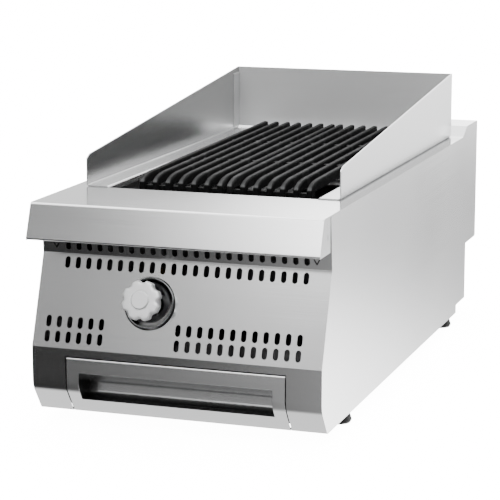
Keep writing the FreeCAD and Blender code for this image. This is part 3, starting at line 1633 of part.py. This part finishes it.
def drawer_rivets():
    """Rivets that join the pan to the drawer front's cheeks."""
    rivets = []
    for side in (-1, 1):
        for y, z in drawer_rivet_places():
            inner = side * (pan_half - thin_sheet - rivet_head)
            grip_length = sheet + thin_sheet + 2 * rivet_head
            number = len(rivets)
            shank = rod(f"drawer_shank_{number}", (inner, y, z), Vector(side, 0, 0), rivet_radius,
                        grip_length)
            tail = rod(f"drawer_tail_{number}", (inner, y, z), Vector(side, 0, 0), rivet_head_radius,
                       rivet_head)
            head = rod(f"drawer_head_{number}", (side * drawer_half, y, z), Vector(side, 0, 0),
                       rivet_head_radius, rivet_head)
            rivets.append(fuse(f"drawer_rivet_{number}", [shank, tail, head]))
    return group("drawer_rivets", rivets)


def runner(label, side):
    """Angle that the drawer slides on."""
    rail = body(label)
    path = [
        (side * runner_outer, base_top + runner_height),
        (side * runner_outer, base_top),
        (side * (runner_outer - runner_flange), base_top),
    ]
    start = toe_y + toe_return + runner_inset
    length = step_y - runner_inset - start
    grow(rail, "XZ", start, length, bent_sheet(path, sheet, -side))
    return rail


# ---------------------------------------------------------------- feet and screws

def foot_places():
    """Label and centre of each foot."""
    places = []
    for row, y in (("front", front + foot_inset_front), ("rear", rear - foot_inset_rear)):
        for side, x in (("left", foot_inset_side - half_width), ("right", half_width - foot_inset_side)):
            places.append((f"foot_{row}_{side}", x, y))
    return places


def foot(label, x, y):
    """Round rubber foot, widest near the floor, with a blind hole for its screw."""
    shape = body(label)
    profile = [
        (screw_radius + screw_clearance, foot_blind),
        (screw_radius + screw_clearance, foot_height),
        (foot_top_radius, foot_height),
        (foot_radius, foot_rim_height),
        (foot_radius, foot_rim_height - seam),
        (foot_base_radius, 0),
        (0, 0),
        (0, foot_blind),
    ]
    revolve(shape, closed(profile))
    for name, value in zip("xy", (x, y)):
        shape.setExpression(f"Placement.Base.{name}", value.text)
    return shape


def foot_screws():
    """Screws that hold the feet, heads inside the cabinet."""
    screws = []
    for label, x, y in foot_places():
        shank = rod(f"{label}_shank", (x, y, foot_blind + seam), Vector(0, 0, 1), screw_radius,
                    base_top - foot_blind - seam + screw_head)
        head = rod(f"{label}_head", (x, y, base_top), Vector(0, 0, 1), screw_head_radius, screw_head)
        screws.append(fuse(f"{label}_screw", [shank, head]))
    return group("foot_screws", screws)


def rear_screws():
    """Screws around the edge of the rear panel."""
    screws = []
    for i, (x, z) in enumerate(back_screw_places()):
        shank = rod(f"rear_shank_{i}", (x, back_y - 3 * sheet, z), Vector(0, 1, 0), back_screw_radius,
                    3 * sheet + screw_head / 2)
        head = rod(f"rear_head_{i}", (x, back_y, z), Vector(0, 1, 0), back_screw_head, screw_head / 2)
        screws.append(fuse(f"rear_screw_{i}", [shank, head]))
    return group("rear_screws", screws)


# ---------------------------------------------------------------- assembly

nodes = [
    worktop(),
    side_panel("side_left", -1),
    side_panel("side_right", 1),
    control_panel(),
    base_plate(),
    rear_panel(),
    rear_cover(),
    flue_grille(),
    firebox(),
    heat_shield(),
    grease_funnel(),
    front_gutter(),
    rear_shelf(),
    burner(),
    burner_saddles(),
    radiant("radiant_left", -burner_leg_offset),
    radiant("radiant_right", burner_leg_offset),
    radiant_shelf_piece("radiant_shelf_front", fire_front),
    radiant_shelf_piece("radiant_shelf_rear", fire_rear - radiant_shelf),
    grate("grate_left", -1),
    grate("grate_right", 1),
    guard_side("guard_left", -1),
    guard_side("guard_right", 1),
    guard_back_piece(),
    knob_bezel(),
    knob(),
    knob_cap(),
    valve_spindle(),
    valve_bonnet(),
    bonnet_nut(),
    valve_bracket(),
    valve_body(),
    valve_plunger(),
    valve_spring(),
    burner_feed_pipe(),
    injector(),
    gas_supply_pipe(),
    gas_inlet(),
    gas_lock_nut(),
    pilot_burner(),
    pilot_tube(),
    drawer_front(),
    drawer_cheek("drawer_cheek_left", -1),
    drawer_cheek("drawer_cheek_right", 1),
    grip_scoop(),
    drip_pan(),
    pan_side("pan_side_left", -1),
    pan_side("pan_side_right", 1),
    drawer_rivets(),
    runner("runner_left", -1),
    runner("runner_right", 1),
    *[foot(label, x, y) for label, x, y in foot_places()],
    foot_screws(),
    rear_screws(),
]
doc.recompute()

for item in doc.Objects:
    if "Invalid" in item.State or "Error" in item.State:
        raise RuntimeError(f"{item.Label} did not build: {item.State}")
for node in nodes:
    if node.Shape.isNull() or not node.Shape.isValid() or node.Shape.Volume <= 0:
        raise RuntimeError(f"{node.Label} has no valid shape")

os.makedirs("parts", exist_ok=True)
for node in nodes:
    node.Shape.exportStep(f"parts/{node.Label}.step")
    print(node.Label, len(node.Shape.Solids), round(node.Shape.Volume), node.Shape.BoundBox)
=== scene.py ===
import json
import math

import bmesh
import bpy
import numpy as np
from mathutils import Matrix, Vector


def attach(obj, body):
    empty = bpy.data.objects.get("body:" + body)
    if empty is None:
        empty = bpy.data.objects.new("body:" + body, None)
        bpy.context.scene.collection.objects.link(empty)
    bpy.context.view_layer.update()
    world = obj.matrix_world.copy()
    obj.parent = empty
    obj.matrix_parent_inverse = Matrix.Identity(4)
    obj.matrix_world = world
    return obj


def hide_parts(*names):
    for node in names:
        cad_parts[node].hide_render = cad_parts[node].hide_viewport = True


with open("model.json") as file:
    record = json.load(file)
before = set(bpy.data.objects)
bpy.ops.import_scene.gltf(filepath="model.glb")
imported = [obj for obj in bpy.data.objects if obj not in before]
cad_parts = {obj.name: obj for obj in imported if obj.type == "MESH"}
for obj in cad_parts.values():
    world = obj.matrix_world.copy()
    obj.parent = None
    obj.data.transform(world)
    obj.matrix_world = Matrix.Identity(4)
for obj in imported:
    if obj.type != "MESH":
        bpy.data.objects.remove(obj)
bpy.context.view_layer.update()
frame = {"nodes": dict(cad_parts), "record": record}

MM = 0.001
# Outputs of the Texture Coordinate node.
GENERATED, NORMAL, OBJECT = 0, 1, 3
BODY_OF = {node: body for body, nodes in frame["record"]["behaviour"]["bodies"].items() for node in nodes}
SLOT_OF = {part["node"]: part["material_slot"] for part in frame["record"]["subparts"]}


# ---------------------------------------------------------------- camera and studio

def add_camera():
    """A long lens, in front of the grill, to its right and a little above it."""
    downwards, turned_left = 11.207, 18.784
    lens = bpy.data.cameras.new("view_camera")
    lens.sensor_width = 36
    lens.lens = 142.2
    lens.clip_end = 50
    camera = bpy.data.objects.new("view_camera", lens)
    bpy.context.collection.objects.link(camera)
    camera.location = (0.8893, -2.7417, 0.7393)
    camera.rotation_euler = (math.radians(90 - downwards), 0, math.radians(turned_left))
    bpy.context.scene.camera = camera


class Signal:
    """A value in a node tree. Arithmetic on it adds the Math nodes that work it out."""

    def __init__(self, tree, socket):
        self.tree = tree
        self.socket = socket

    def math(self, operation, *operands):
        return self.tree.node("Math", {"operation": operation}, dict(enumerate(operands)))

    def __add__(self, other):
        return self.math("ADD", self, other)

    def __radd__(self, other):
        return self.math("ADD", other, self)

    def __sub__(self, other):
        return self.math("SUBTRACT", self, other)

    def __rsub__(self, other):
        return self.math("SUBTRACT", other, self)

    def __mul__(self, other):
        return self.math("MULTIPLY", self, other)

    def __rmul__(self, other):
        return self.math("MULTIPLY", other, self)

    def __pow__(self, other):
        return self.math("POWER", self, other)

    def clamp(self):
        """The value held between 0 and 1."""
        return self.math("MAXIMUM", self.math("MINIMUM", self, 1.0), 0.0)

    def ramp(self, low, high):
        """0 below `low`, 1 above `high`, and a smooth rise between them."""
        inputs = {"Value": self, "From Min": low, "From Max": high}
        return self.tree.node("MapRange", {"interpolation_type": "SMOOTHSTEP"}, inputs)


class Tree:
    """The nodes of one material or of the world."""

    def __init__(self, node_tree):
        self.nodes = node_tree.nodes
        self.links = node_tree.links

    def node(self, kind, settings=None, inputs=None, output=0):
        """Add a node, set its properties, fill or link its sockets and return one output."""
        made = self.nodes.new("ShaderNode" + kind)
        for name, value in (settings or {}).items():
            setattr(made, name, value)
        for name, value in (inputs or {}).items():
            self.plug(made.inputs[name], value)
        return Signal(self, made.outputs[output])

    def plug(self, socket, value):
        """Link a signal to a socket, or set the socket to a plain value."""
        if isinstance(value, Signal):
            self.links.new(value.socket, socket)
        else:
            socket.default_value = value

    def mix(self, factor, first, second):
        """A colour between two colours."""
        made = self.nodes.new("ShaderNodeMix")
        made.data_type = "RGBA"
        self.plug(made.inputs[0], factor)
        self.plug(made.inputs[6], first)
        self.plug(made.inputs[7], second)
        return Signal(self, made.outputs[2])

    def position(self):
        """Place on the object, in metres."""
        return self.node("TexCoord", output=OBJECT)

    def axes(self, signal):
        """The X, Y and Z parts of a vector."""
        split = self.nodes.new("ShaderNodeSeparateXYZ")
        self.links.new(signal.socket, split.inputs[0])
        return [Signal(self, part) for part in split.outputs]


def blend(share, first, second):
    """The first value where the share is 0, the second where it is 1."""
    return first + share * (second - first)


def grey(level, tint=0.0):
    """A grey colour; a positive tint makes it slightly blue."""
    return (level * (1 - tint), level, level * (1 + tint), 1.0)


def add_world():
    """Studio surroundings as a function of direction: what the steel mirrors and what lights it."""
    world = bpy.data.worlds.new("studio")
    world.use_nodes = True
    bpy.context.scene.world = world
    tree = Tree(world.node_tree)
    x, y, z = tree.axes(tree.node("TexCoord", output=GENERATED))

    # Ahead of the grill, from the floor upwards: what the fascia, the panel, the deck's apron
    # and the deck itself mirror. Bounds in ramp() are parts of the unit direction.
    shaded_right = 1.0 - x.ramp(0.02, 0.16)
    far_left = 1.0 - 0.85 * (1.0 - x.ramp(-0.75, -0.50))
    low_front = 0.04 + 0.42 * x.ramp(-0.36, -0.24) + 0.55 * x.ramp(-0.27, -0.19)
    level_front = 0.15 + 3.0 * x.ramp(-0.335, -0.285) * (1.0 - x.ramp(-0.27, -0.21))
    middle_front = 0.50 + 0.75 * x.ramp(-0.38, -0.30) - 0.40 * x.ramp(-0.29, -0.24)
    high_front = 0.28 + 7.0 * x.ramp(-0.375, -0.275) ** 1.3
    front = blend(z.ramp(-0.18, -0.13), low_front, level_front)
    front = blend(z.ramp(0.05, 0.25), front, middle_front)
    front = blend(z.ramp(0.425, 0.475), front, high_front) * shaded_right * far_left

    # Behind the grill: what the right side, the guard and the left side mirror.
    near_side = x.ramp(0.215, 0.29)
    right_back = 0.70 + 1.2 * near_side
    right_back = right_back + (0.6 + 2.6 * near_side) * z.ramp(-0.155, -0.12) * (1.0 - z.ramp(-0.04, 0.04))
    right_back = right_back + (0.6 + 5.0 * near_side) * (1.0 - z.ramp(-0.27, -0.19))
    left_back = blend(z.ramp(0.02, 0.14), 0.8, 1.5 + 4.5 * x.ramp(-0.36, -0.26))
    back = blend(x.ramp(-0.05, 0.15), left_back * far_left, right_back)

    around = blend(y.ramp(-0.30, 0.30), front, back)
    overhead = blend(z.ramp(0.65, 0.85), around, 4.0)
    from_floor = (1.0 - z.ramp(-0.85, -0.60)) * y.ramp(-0.45, 0.0)
    strength = blend(from_floor, overhead, 1.7)
    background = next(n for n in world.node_tree.nodes if n.type == "BACKGROUND")
    tree.plug(background.inputs["Color"], (1.0, 1.0, 1.0, 1.0))
    tree.plug(background.inputs["Strength"], strength)


def add_light(name, place, target, size, power):
    """A rectangular soft light that faces a point."""
    lamp = bpy.data.lights.new(name, "AREA")
    lamp.shape = "RECTANGLE"
    lamp.size, lamp.size_y = size
    lamp.energy = power
    holder = bpy.data.objects.new(name, lamp)
    bpy.context.collection.objects.link(holder)
    holder.location = place
    holder.rotation_euler = (Vector(target) - Vector(place)).to_track_quat("-Z", "Y").to_euler()


def add_stage():
    """A wide pale floor and a plain surround. Neither shows in the steel, which mirrors the studio."""
    floor_mesh = bpy.data.meshes.new("floor")
    reach = 12.0
    corners = [(-reach, -reach, 0), (reach, -reach, 0), (reach, reach, 0), (-reach, reach, 0)]
    floor_mesh.from_pydata(corners, [], [(0, 1, 2, 3)])
    floor = bpy.data.objects.new("floor", floor_mesh)
    bpy.context.collection.objects.link(floor)
    material = bpy.data.materials.new("pale_floor")
    material.use_nodes = True
    tree = Tree(material.node_tree)
    shader = material.node_tree.nodes["Principled BSDF"]
    speckle = tree.node("TexNoise", {}, {"Scale": 40.0, "Vector": tree.position()})
    tree.plug(shader.inputs["Base Color"], tree.mix(speckle, grey(0.93), grey(0.95)))
    shader.inputs["Roughness"].default_value = 0.9
    shader.inputs["Emission Color"].default_value = (1.0, 1.0, 1.0, 1.0)
    shader.inputs["Emission Strength"].default_value = 14.0
    floor_mesh.materials.append(material)
    floor.visible_glossy = False
    floor.visible_diffuse = False

    dome_mesh = bpy.data.meshes.new("surround")
    ring = bmesh.new()
    bmesh.ops.create_uvsphere(ring, u_segments=48, v_segments=24, radius=20.0)
    bmesh.ops.reverse_faces(ring, faces=ring.faces)
    ring.to_mesh(dome_mesh)
    ring.free()
    dome = bpy.data.objects.new("surround", dome_mesh)
    bpy.context.collection.objects.link(dome)
    white = bpy.data.materials.new("white_surround")
    white.use_nodes = True
    light = white.node_tree.nodes["Principled BSDF"]
    light.inputs["Base Color"].default_value = (0.0, 0.0, 0.0, 1.0)
    light.inputs["Emission Color"].default_value = (1.0, 1.0, 1.0, 1.0)
    light.inputs["Emission Strength"].default_value = 40.0
    dome_mesh.materials.append(white)
    dome.visible_glossy = False
    dome.visible_diffuse = False
    dome.visible_shadow = False
    dome.visible_transmission = False


add_camera()
add_world()
add_stage()
add_light("key_light", (1.6, -1.8, 2.6), (0, 0, 0.2), (1.6, 1.6), 30)
add_light("top_light", (-0.2, 0.3, 2.6), (0, 0, 0.3), (2.0, 1.4), 22)


# ---------------------------------------------------------------- finishes

def new_finish(name):
    """A material with a Principled shader: returns the material, its tree, the shader and a position."""
    material = bpy.data.materials.new(name)
    material.use_nodes = True
    tree = Tree(material.node_tree)
    shader = material.node_tree.nodes["Principled BSDF"]
    return material, tree, shader, tree.position()


def stretched(tree, position, scale):
    """The position scaled differently along X, Y and Z."""
    return tree.node("Mapping", {}, {"Vector": position, "Scale": scale})


def brushed_steel(name, grain_axis, level=0.62, rough=0.30, contrast=0.10, bump=0.05, tint=0.004,
                  unevenness=1.0):
    """Brushed stainless sheet: fine scratches along one axis, cloudy patches and faint streaks.

    Each noise is stretched by its scale, in cycles per metre, along and across the scratches.
    """
    material, tree, shader, position = new_finish(name)
    along, across = 3.0, 900.0
    scale = [across] * 3
    scale["XYZ".index(grain_axis)] = along
    streaks = [60.0] * 3
    streaks["XYZ".index(grain_axis)] = 0.8
    grain = tree.node("TexNoise", {}, {"Vector": stretched(tree, position, scale), "Scale": 1.0,
                                       "Detail": 3.0})
    bands = tree.node("TexNoise", {}, {"Vector": stretched(tree, position, streaks), "Scale": 1.0,
                                       "Detail": 4.0, "Roughness": 0.6})
    clouds = tree.node("TexNoise", {}, {"Vector": position, "Scale": 5.0, "Detail": 3.0})
    shade = ((grain - 0.5) * 0.5 + (bands - 0.5) * 0.7 + (clouds - 0.5) * 0.35) * contrast + 0.5
    dark, bright = grey(level * (1 - 0.5), tint), grey(min(level * 1.5, 1.0), tint)
    tree.plug(shader.inputs["Base Color"], tree.mix(shade.clamp(), dark, bright))
    wear = rough + ((grain - 0.5) * 0.06 + (clouds - 0.5) * 0.05) * unevenness
    tree.plug(shader.inputs["Roughness"], wear.clamp())
    shader.inputs["Metallic"].default_value = 1.0
    relief = tree.node("Bump", {}, {"Strength": bump, "Distance": 0.0002, "Height": grain})
    tree.plug(shader.inputs["Normal"], relief)
    return material


def zinc_sheet(name, level=0.45):
    """Plain inner sheet metal: dull, with a faint crystal pattern and rolling marks."""
    material, tree, shader, position = new_finish(name)
    crystal = tree.node("TexVoronoi", {"feature": "F1"}, {"Vector": position, "Scale": 160.0}, output=1)
    value = tree.node("RGBToBW", {}, {0: crystal})
    clouds = tree.node("TexNoise", {}, {"Vector": position, "Scale": 14.0, "Detail": 4.0})
    shade = (value * 0.35 + clouds * 0.65).clamp()
    tree.plug(shader.inputs["Base Color"], tree.mix(shade, grey(level * 0.72), grey(level * 1.2, 0.01)))
    tree.plug(shader.inputs["Roughness"], (0.38 + 0.22 * clouds).clamp())
    shader.inputs["Metallic"].default_value = 1.0
    relief = tree.node("Bump", {}, {"Strength": 0.12, "Distance": 0.0003, "Height": clouds})
    tree.plug(shader.inputs["Normal"], relief)
    return material


def cast_iron():
    """Seasoned black iron: pebbled skin, oily patches, bar tops rubbed greyer, and noses facing forward and
    up greyed as a painted highlight.
    """
    material, tree, shader, position = new_finish("cast_iron")
    pebble = tree.node("TexNoise", {}, {"Vector": position, "Scale": 900.0, "Detail": 4.0,
                                        "Roughness": 0.7})
    patches = tree.node("TexNoise", {}, {"Vector": position, "Scale": 38.0, "Detail": 5.0})
    worn = patches.ramp(0.52, 0.72)
    _, ahead, upward = tree.axes(tree.node("TexCoord", output=NORMAL))
    # Painted highlight: faces looking forward and up get a lighter grey; the bar tops' lighter grey is
    # wear.
    painted_nose_highlight = (0.0 - ahead).ramp(0.25, 0.75) * upward.ramp(0.15, 0.60)
    nose_highlight_and_top_wear = (painted_nose_highlight + 0.25 * upward.ramp(0.80, 0.98)) * (0.6 + 0.4 * patches)
    skin = tree.mix(worn, grey(0.006, 0.02), grey(0.016, 0.01))
    tree.plug(shader.inputs["Base Color"], tree.mix(nose_highlight_and_top_wear.clamp(), skin, grey(0.085, 0.01)))
    tree.plug(shader.inputs["Roughness"], (0.55 + 0.20 * pebble - 0.10 * worn).clamp())
    shader.inputs["Specular IOR Level"].default_value = 0.04
    relief = tree.node("Bump", {}, {"Strength": 0.35, "Distance": 0.0004, "Height": pebble})
    tree.plug(shader.inputs["Normal"], relief)
    return material


def plated(name, colour, rough, metallic, speckle=0.04, scale=300.0, bump=0.03):
    """A plated, cast or turned metal part: nearly even colour, fine speckle and handling marks."""
    material, tree, shader, position = new_finish(name)
    fine = tree.node("TexNoise", {}, {"Vector": position, "Scale": scale, "Detail": 3.0})
    marks = tree.node("TexNoise", {}, {"Vector": position, "Scale": 30.0, "Detail": 4.0})
    darker = tuple(c * (1 - 3 * speckle) for c in colour[:3]) + (1.0,)
    tree.plug(shader.inputs["Base Color"], tree.mix((fine * 0.5 + marks * 0.5).clamp(), darker, colour))
    tree.plug(shader.inputs["Roughness"], (rough + (marks - 0.5) * 0.12 + (fine - 0.5) * 0.06).clamp())
    shader.inputs["Metallic"].default_value = metallic
    relief = tree.node("Bump", {}, {"Strength": bump, "Distance": 0.0002, "Height": fine})
    tree.plug(shader.inputs["Normal"], relief)
    return material


def bowl_chrome():
    """Bright plating with a painted reflection: dark base colour on the walls that look down and to the
    right, bright where they look up.
    """
    material, tree, shader, position = new_finish("bezel_chrome")
    sideways, _, upward = tree.axes(tree.node("TexCoord", output=NORMAL))
    # Painted reflection: a normal-based mask sets a dark or bright base colour, and raises the roughness on
    # the bright walls.
    painted_reflection = (upward * 0.8 - sideways * 0.6).ramp(0.38, 0.62)
    marks = tree.node("TexNoise", {}, {"Vector": position, "Scale": 60.0, "Detail": 4.0})
    tree.plug(shader.inputs["Base Color"], tree.mix(painted_reflection, grey(0.11, 0.02), grey(0.97)))
    tree.plug(shader.inputs["Roughness"], (0.10 + 0.06 * marks + 0.36 * painted_reflection).clamp())
    shader.inputs["Metallic"].default_value = 1.0
    relief = tree.node("Bump", {}, {"Strength": 0.02, "Distance": 0.0002, "Height": marks})
    tree.plug(shader.inputs["Normal"], relief)
    return material


def rubber():
    """Black rubber with a fine moulded grain and dusty patches."""
    material, tree, shader, position = new_finish("foot_rubber")
    grain = tree.node("TexNoise", {}, {"Vector": position, "Scale": 1200.0, "Detail": 2.0})
    dust = tree.node("TexNoise", {}, {"Vector": position, "Scale": 60.0, "Detail": 4.0}).ramp(0.5, 0.8)
    tree.plug(shader.inputs["Base Color"], tree.mix(dust, grey(0.012), grey(0.035)))
    tree.plug(shader.inputs["Roughness"], (0.62 + 0.2 * grain).clamp())
    relief = tree.node("Bump", {}, {"Strength": 0.2, "Distance": 0.0002, "Height": grain})
    tree.plug(shader.inputs["Normal"], relief)
    return material


FINISHES = {
    "deck": brushed_steel("deck_steel", "X", level=0.64, rough=0.16),
    "panel": brushed_steel("panel_steel", "X", level=0.62, rough=0.15),
    "side": brushed_steel("side_steel", "Y", level=0.64, rough=0.18),
    "guard_side": brushed_steel("guard_side_steel", "Y", level=0.66, rough=0.27, contrast=0.05, bump=0.001,
                                unevenness=0.15),
    # The guard's back sheet gets a much brighter base than the same steel elsewhere: painted light on that
    # face, added to what its roughness gathers.
    "guard_rear": brushed_steel("guard_back_steel", "X", level=0.98, rough=0.56, contrast=0.06),
    "drawer": brushed_steel("drawer_steel", "X", level=0.66, rough=0.24),
    "scoop": brushed_steel("scoop_steel", "X", level=0.26, rough=0.26),
    # The inner sheets are darkened far below plain zinc: painted shade for the unlit inside seen through
    # the vents.
    "inner": zinc_sheet("inner_sheet", level=0.16),
    "iron": cast_iron(),
    "chrome": bowl_chrome(),
    "knob": plated("knob_silver", grey(0.86, 0.006), 0.32, 0.35, speckle=0.012),
    "brass": plated("valve_brass", (0.62, 0.44, 0.17, 1.0), 0.30, 1.0, speckle=0.08),
    "pipe": plated("pipe_aluminium", grey(0.60, 0.01), 0.38, 1.0, speckle=0.06),
    "zinc_screw": plated("screw_zinc", grey(0.62, 0.01), 0.28, 1.0, speckle=0.05),
    "rubber": rubber(),
}

FINISH_OF_NODE = {
    "worktop": "deck", "control_panel": "panel", "side_left": "side", "side_right": "side",
    "rear_cover": "side", "rear_panel": "side", "guard_left": "guard_side", "guard_right": "guard_side",
    "guard_back": "guard_rear", "drawer_front": "drawer",
    "grip_scoop": "scoop", "drawer_rivets": "zinc_screw", "rear_screws": "zinc_screw",
    "foot_screws": "zinc_screw", "knob_bezel": "chrome", "knob": "knob", "knob_cap": "knob",
}
FINISH_OF_SLOT = {
    "steel": "deck", "inner_steel": "inner", "iron": "iron", "chrome": "chrome", "knob": "knob",
    "brass": "brass", "pipe": "pipe", "rubber": "rubber",
}


# ---------------------------------------------------------------- pieces

SAME_POINT = 2e-6
FLAT = math.radians(0.3)
BEND_ANGLE = math.radians(32)


def placed(name, mesh, node, finish):
    """An object for the mesh, standing in for a node: on its body, with its finish."""
    mesh.materials.append(FINISHES[finish])
    piece = bpy.data.objects.new(name, mesh)
    bpy.context.collection.objects.link(piece)
    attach(piece, BODY_OF[node])
    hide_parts(node)
    return piece


def finished(node, edge_width):
    """The node's own shape with its facets joined, smooth bends and fine rounded edges."""
    source = frame["nodes"][node]
    shape = bmesh.new()
    shape.from_mesh(source.data)
    bmesh.ops.remove_doubles(shape, verts=shape.verts, dist=SAME_POINT)
    bmesh.ops.dissolve_limit(shape, angle_limit=FLAT, verts=shape.verts, edges=shape.edges)
    mesh = bpy.data.meshes.new(f"{node}_finished")
    shape.to_mesh(mesh)
    shape.free()
    mesh.shade_smooth()
    mesh.set_sharp_from_angle(angle=BEND_ANGLE)
    finish = FINISH_OF_NODE.get(node) or FINISH_OF_SLOT[SLOT_OF[node]]
    piece = placed(f"{node}_finished", mesh, node, finish)
    if edge_width > 0:
        edge = piece.modifiers.new("rounded_edges", "BEVEL")
        edge.width = edge_width
        edge.segments = 2
        edge.limit_method = "ANGLE"
        edge.angle_limit = BEND_ANGLE
        edge.harden_normals = True
        edge.use_clamp_overlap = True
    even = piece.modifiers.new("even_shading", "WEIGHTED_NORMAL")
    even.keep_sharp = edge_width <= 0


# ---------------------------------------------------------------- knob and bezel

# Radii, and heights from the panel's face out along the knob's axis, in millimetres.
KNOB_TURN = next(j for j in frame["record"]["behaviour"]["joints"] if j["name"] == "knob_turn")
KNOB_CENTRE = np.array(KNOB_TURN["pos_m"])
KNOB_AXIS = np.array(KNOB_TURN["axis"])
KNOB_UP = np.cross(KNOB_AXIS, [1.0, 0.0, 0.0])
AROUND = np.linspace(0, 2 * math.pi, 240, endpoint=False)
LOBES = 8
KNOB_RADIUS = 26.5
SCALLOP_RADIUS = 7.0
SCALLOP_DEPTH = 3.2
LOBE_SOFTNESS = 0.45
HEAD_LOW, HEAD_TOP = 25.0, 36.0
HEAD_ROUNDING = 3.0
NECK_LOW, NECK_RADIUS = -3.0, 15.0
NECK_BEVEL = 0.6
BORE_RADIUS, BORE_END = 4.05, 27.0
INLAY_RADIUS = 12.0
GROOVE_DEPTH = 0.6
BOWL_HOLE = 6.5
BOWL_THICKNESS = 1.0
BOWL_FLOOR = -8.0
RIM_CREST = 32.9
RIM_HEIGHT = 2.5
SHARPEST_SMOOTH = math.radians(40)


def turned(radii, height):
    """One ring of points round the knob's axis: radius times the direction, plus height along the axis."""
    radii = np.broadcast_to(radii, AROUND.shape)[:, None] * MM
    sideways = np.cos(AROUND)[:, None] * np.array([1.0, 0.0, 0.0])
    upwards = np.sin(AROUND)[:, None] * KNOB_UP
    return KNOB_CENTRE + radii * (sideways + upwards) + height * MM * KNOB_AXIS


def skin_of(name, rings, finish, node, poles=None):
    """Quads from each ring to the next. Poles are the heights of the points that close both ends.

    Without poles the last ring joins the first again.
    """
    count = len(AROUND)
    points = np.concatenate(rings)
    first = np.arange(len(rings) - (1 if poles else 0))[:, None] * count
    step = np.arange(count)[None, :]
    beyond = (step + 1) % count
    second = (first + count) % len(points)
    quads = np.stack([first + step, first + beyond, second + beyond, second + step], axis=-1).reshape(-1, 4)
    faces = quads.tolist()
    if poles:
        centres = [KNOB_CENTRE + height * MM * KNOB_AXIS for height in poles]
        points = np.concatenate([points, centres])
        low, high = len(points) - 2, len(points) - 1
        top = (len(rings) - 1) * count
        faces += [(low, (i + 1) % count, i) for i in range(count)]
        faces += [(high, top + i, top + (i + 1) % count) for i in range(count)]
    mesh = bpy.data.meshes.new(name)
    mesh.from_pydata(points.tolist(), [], faces)
    shape = bmesh.new()
    shape.from_mesh(mesh)
    bmesh.ops.recalc_face_normals(shape, faces=shape.faces)
    shape.to_mesh(mesh)
    shape.free()
    mesh.shade_smooth()
    mesh.set_sharp_from_angle(angle=SHARPEST_SMOOTH)
    placed(name, mesh, node, finish)


def knob_outline():
    """Radius at each angle: the round head, less a round scallop between each pair of lobes.

    Along a ray at an angle from a scallop's centre line, the scallop's near side is at
    D cos(angle) - sqrt(r^2 - D^2 sin^2(angle)). A soft minimum rounds the lobes' corners.
    """
    sector = 2 * math.pi / LOBES
    angle = (AROUND + sector / 2) % sector - sector / 2
    reach = KNOB_RADIUS + SCALLOP_RADIUS - SCALLOP_DEPTH
    inside = SCALLOP_RADIUS ** 2 - (reach * np.sin(angle)) ** 2
    scallop = reach * np.cos(angle) - np.sqrt(np.maximum(inside, 0.0))
    scallop = np.where(inside > 0, scallop, 2 * KNOB_RADIUS)
    both = np.exp(-scallop / LOBE_SOFTNESS) + np.exp(-KNOB_RADIUS / LOBE_SOFTNESS)
    return -LOBE_SOFTNESS * np.log(both)


def quarter_turn(steps, start=0.0):
    """Angles from `start` to a right angle."""
    return np.linspace(start, math.pi / 2, steps)


def add_knob():
    """Lobed head with a well rounded face, a fine groove round its inlay, a neck and the spindle's bore."""
    outline = knob_outline()
    bore_and_neck = (
        (BORE_RADIUS, BORE_END), (BORE_RADIUS, NECK_LOW),
        (NECK_RADIUS - NECK_BEVEL, NECK_LOW), (NECK_RADIUS, NECK_LOW + NECK_BEVEL), (NECK_RADIUS, HEAD_LOW),
    )
    lower_edge = ((0.8, 0.0), (0.24, 0.24), (0.0, 0.8))
    face = (
        (NECK_RADIUS + 1.0, HEAD_TOP), (INLAY_RADIUS + 1.1, HEAD_TOP),
        (INLAY_RADIUS + 0.8, HEAD_TOP - GROOVE_DEPTH), (INLAY_RADIUS + 0.3, HEAD_TOP - GROOVE_DEPTH),
        (INLAY_RADIUS, HEAD_TOP),
    )
    rings = [turned(radius, height) for radius, height in bore_and_neck]
    rings += [turned(outline - inset, HEAD_LOW + rise) for inset, rise in lower_edge]
    for turn in quarter_turn(8):
        inset = HEAD_ROUNDING * (1 - math.cos(turn))
        rings.append(turned(outline - inset, HEAD_TOP - HEAD_ROUNDING + HEAD_ROUNDING * math.sin(turn)))
    rings += [turned(radius, height) for radius, height in face]
    skin_of("knob_finished", rings, "knob", "knob", poles=(BORE_END, HEAD_TOP))


def add_bezel():
    """Bright bowl round the knob: flat floor, wall curved like a quarter ellipse, and a rounded rim.

    A wall starts at its floor and rises as 1 - cos(turn) while it widens as sin(turn). The rim is a
    quarter ellipse up to its crest and another down its flank.
    """
    inner = [(21 + 10 * math.sin(t), BOWL_FLOOR + 8.8 * (1 - math.cos(t))) for t in quarter_turn(16)]
    under = BOWL_FLOOR - BOWL_THICKNESS
    outer = [(20.5 + 10.5 * math.sin(t), under - under * (1 - math.cos(t))) for t in quarter_turn(16)]
    rim = [(RIM_CREST - 1.7 * math.cos(t), 0.8 + 1.7 * math.sin(t)) for t in quarter_turn(6, 0.25)]
    flank = [(RIM_CREST + 2.6 * math.sin(t), RIM_HEIGHT * math.cos(t)) for t in quarter_turn(8, 0.2)]
    profile = [(BOWL_HOLE, BOWL_FLOOR)] + inner + rim + flank + outer[::-1] + [(BOWL_HOLE, under)]
    rings = [turned(radius, height) for radius, height in profile]
    skin_of("knob_bezel_finished", rings, "chrome", "knob_bezel")


add_knob()
add_bezel()

# Rounding of the sheets' cut edges, in metres; 0 leaves a piece's edges sharp.
PLAIN_EDGE = 0.0002
EDGE_WIDTHS = {
    "worktop": 0.0004, "control_panel": 0.00025, "side_left": 0.0003, "side_right": 0.0003,
    "drawer_front": 0.0003, "guard_left": 0.0003, "guard_right": 0.0003, "guard_back": 0.0003,
    "valve_spring": 0.0, "burner": 0.0,
}
for node in frame["nodes"]:
    if node not in ("knob", "knob_bezel"):
        finished(node, EDGE_WIDTHS.get(node, PLAIN_EDGE))
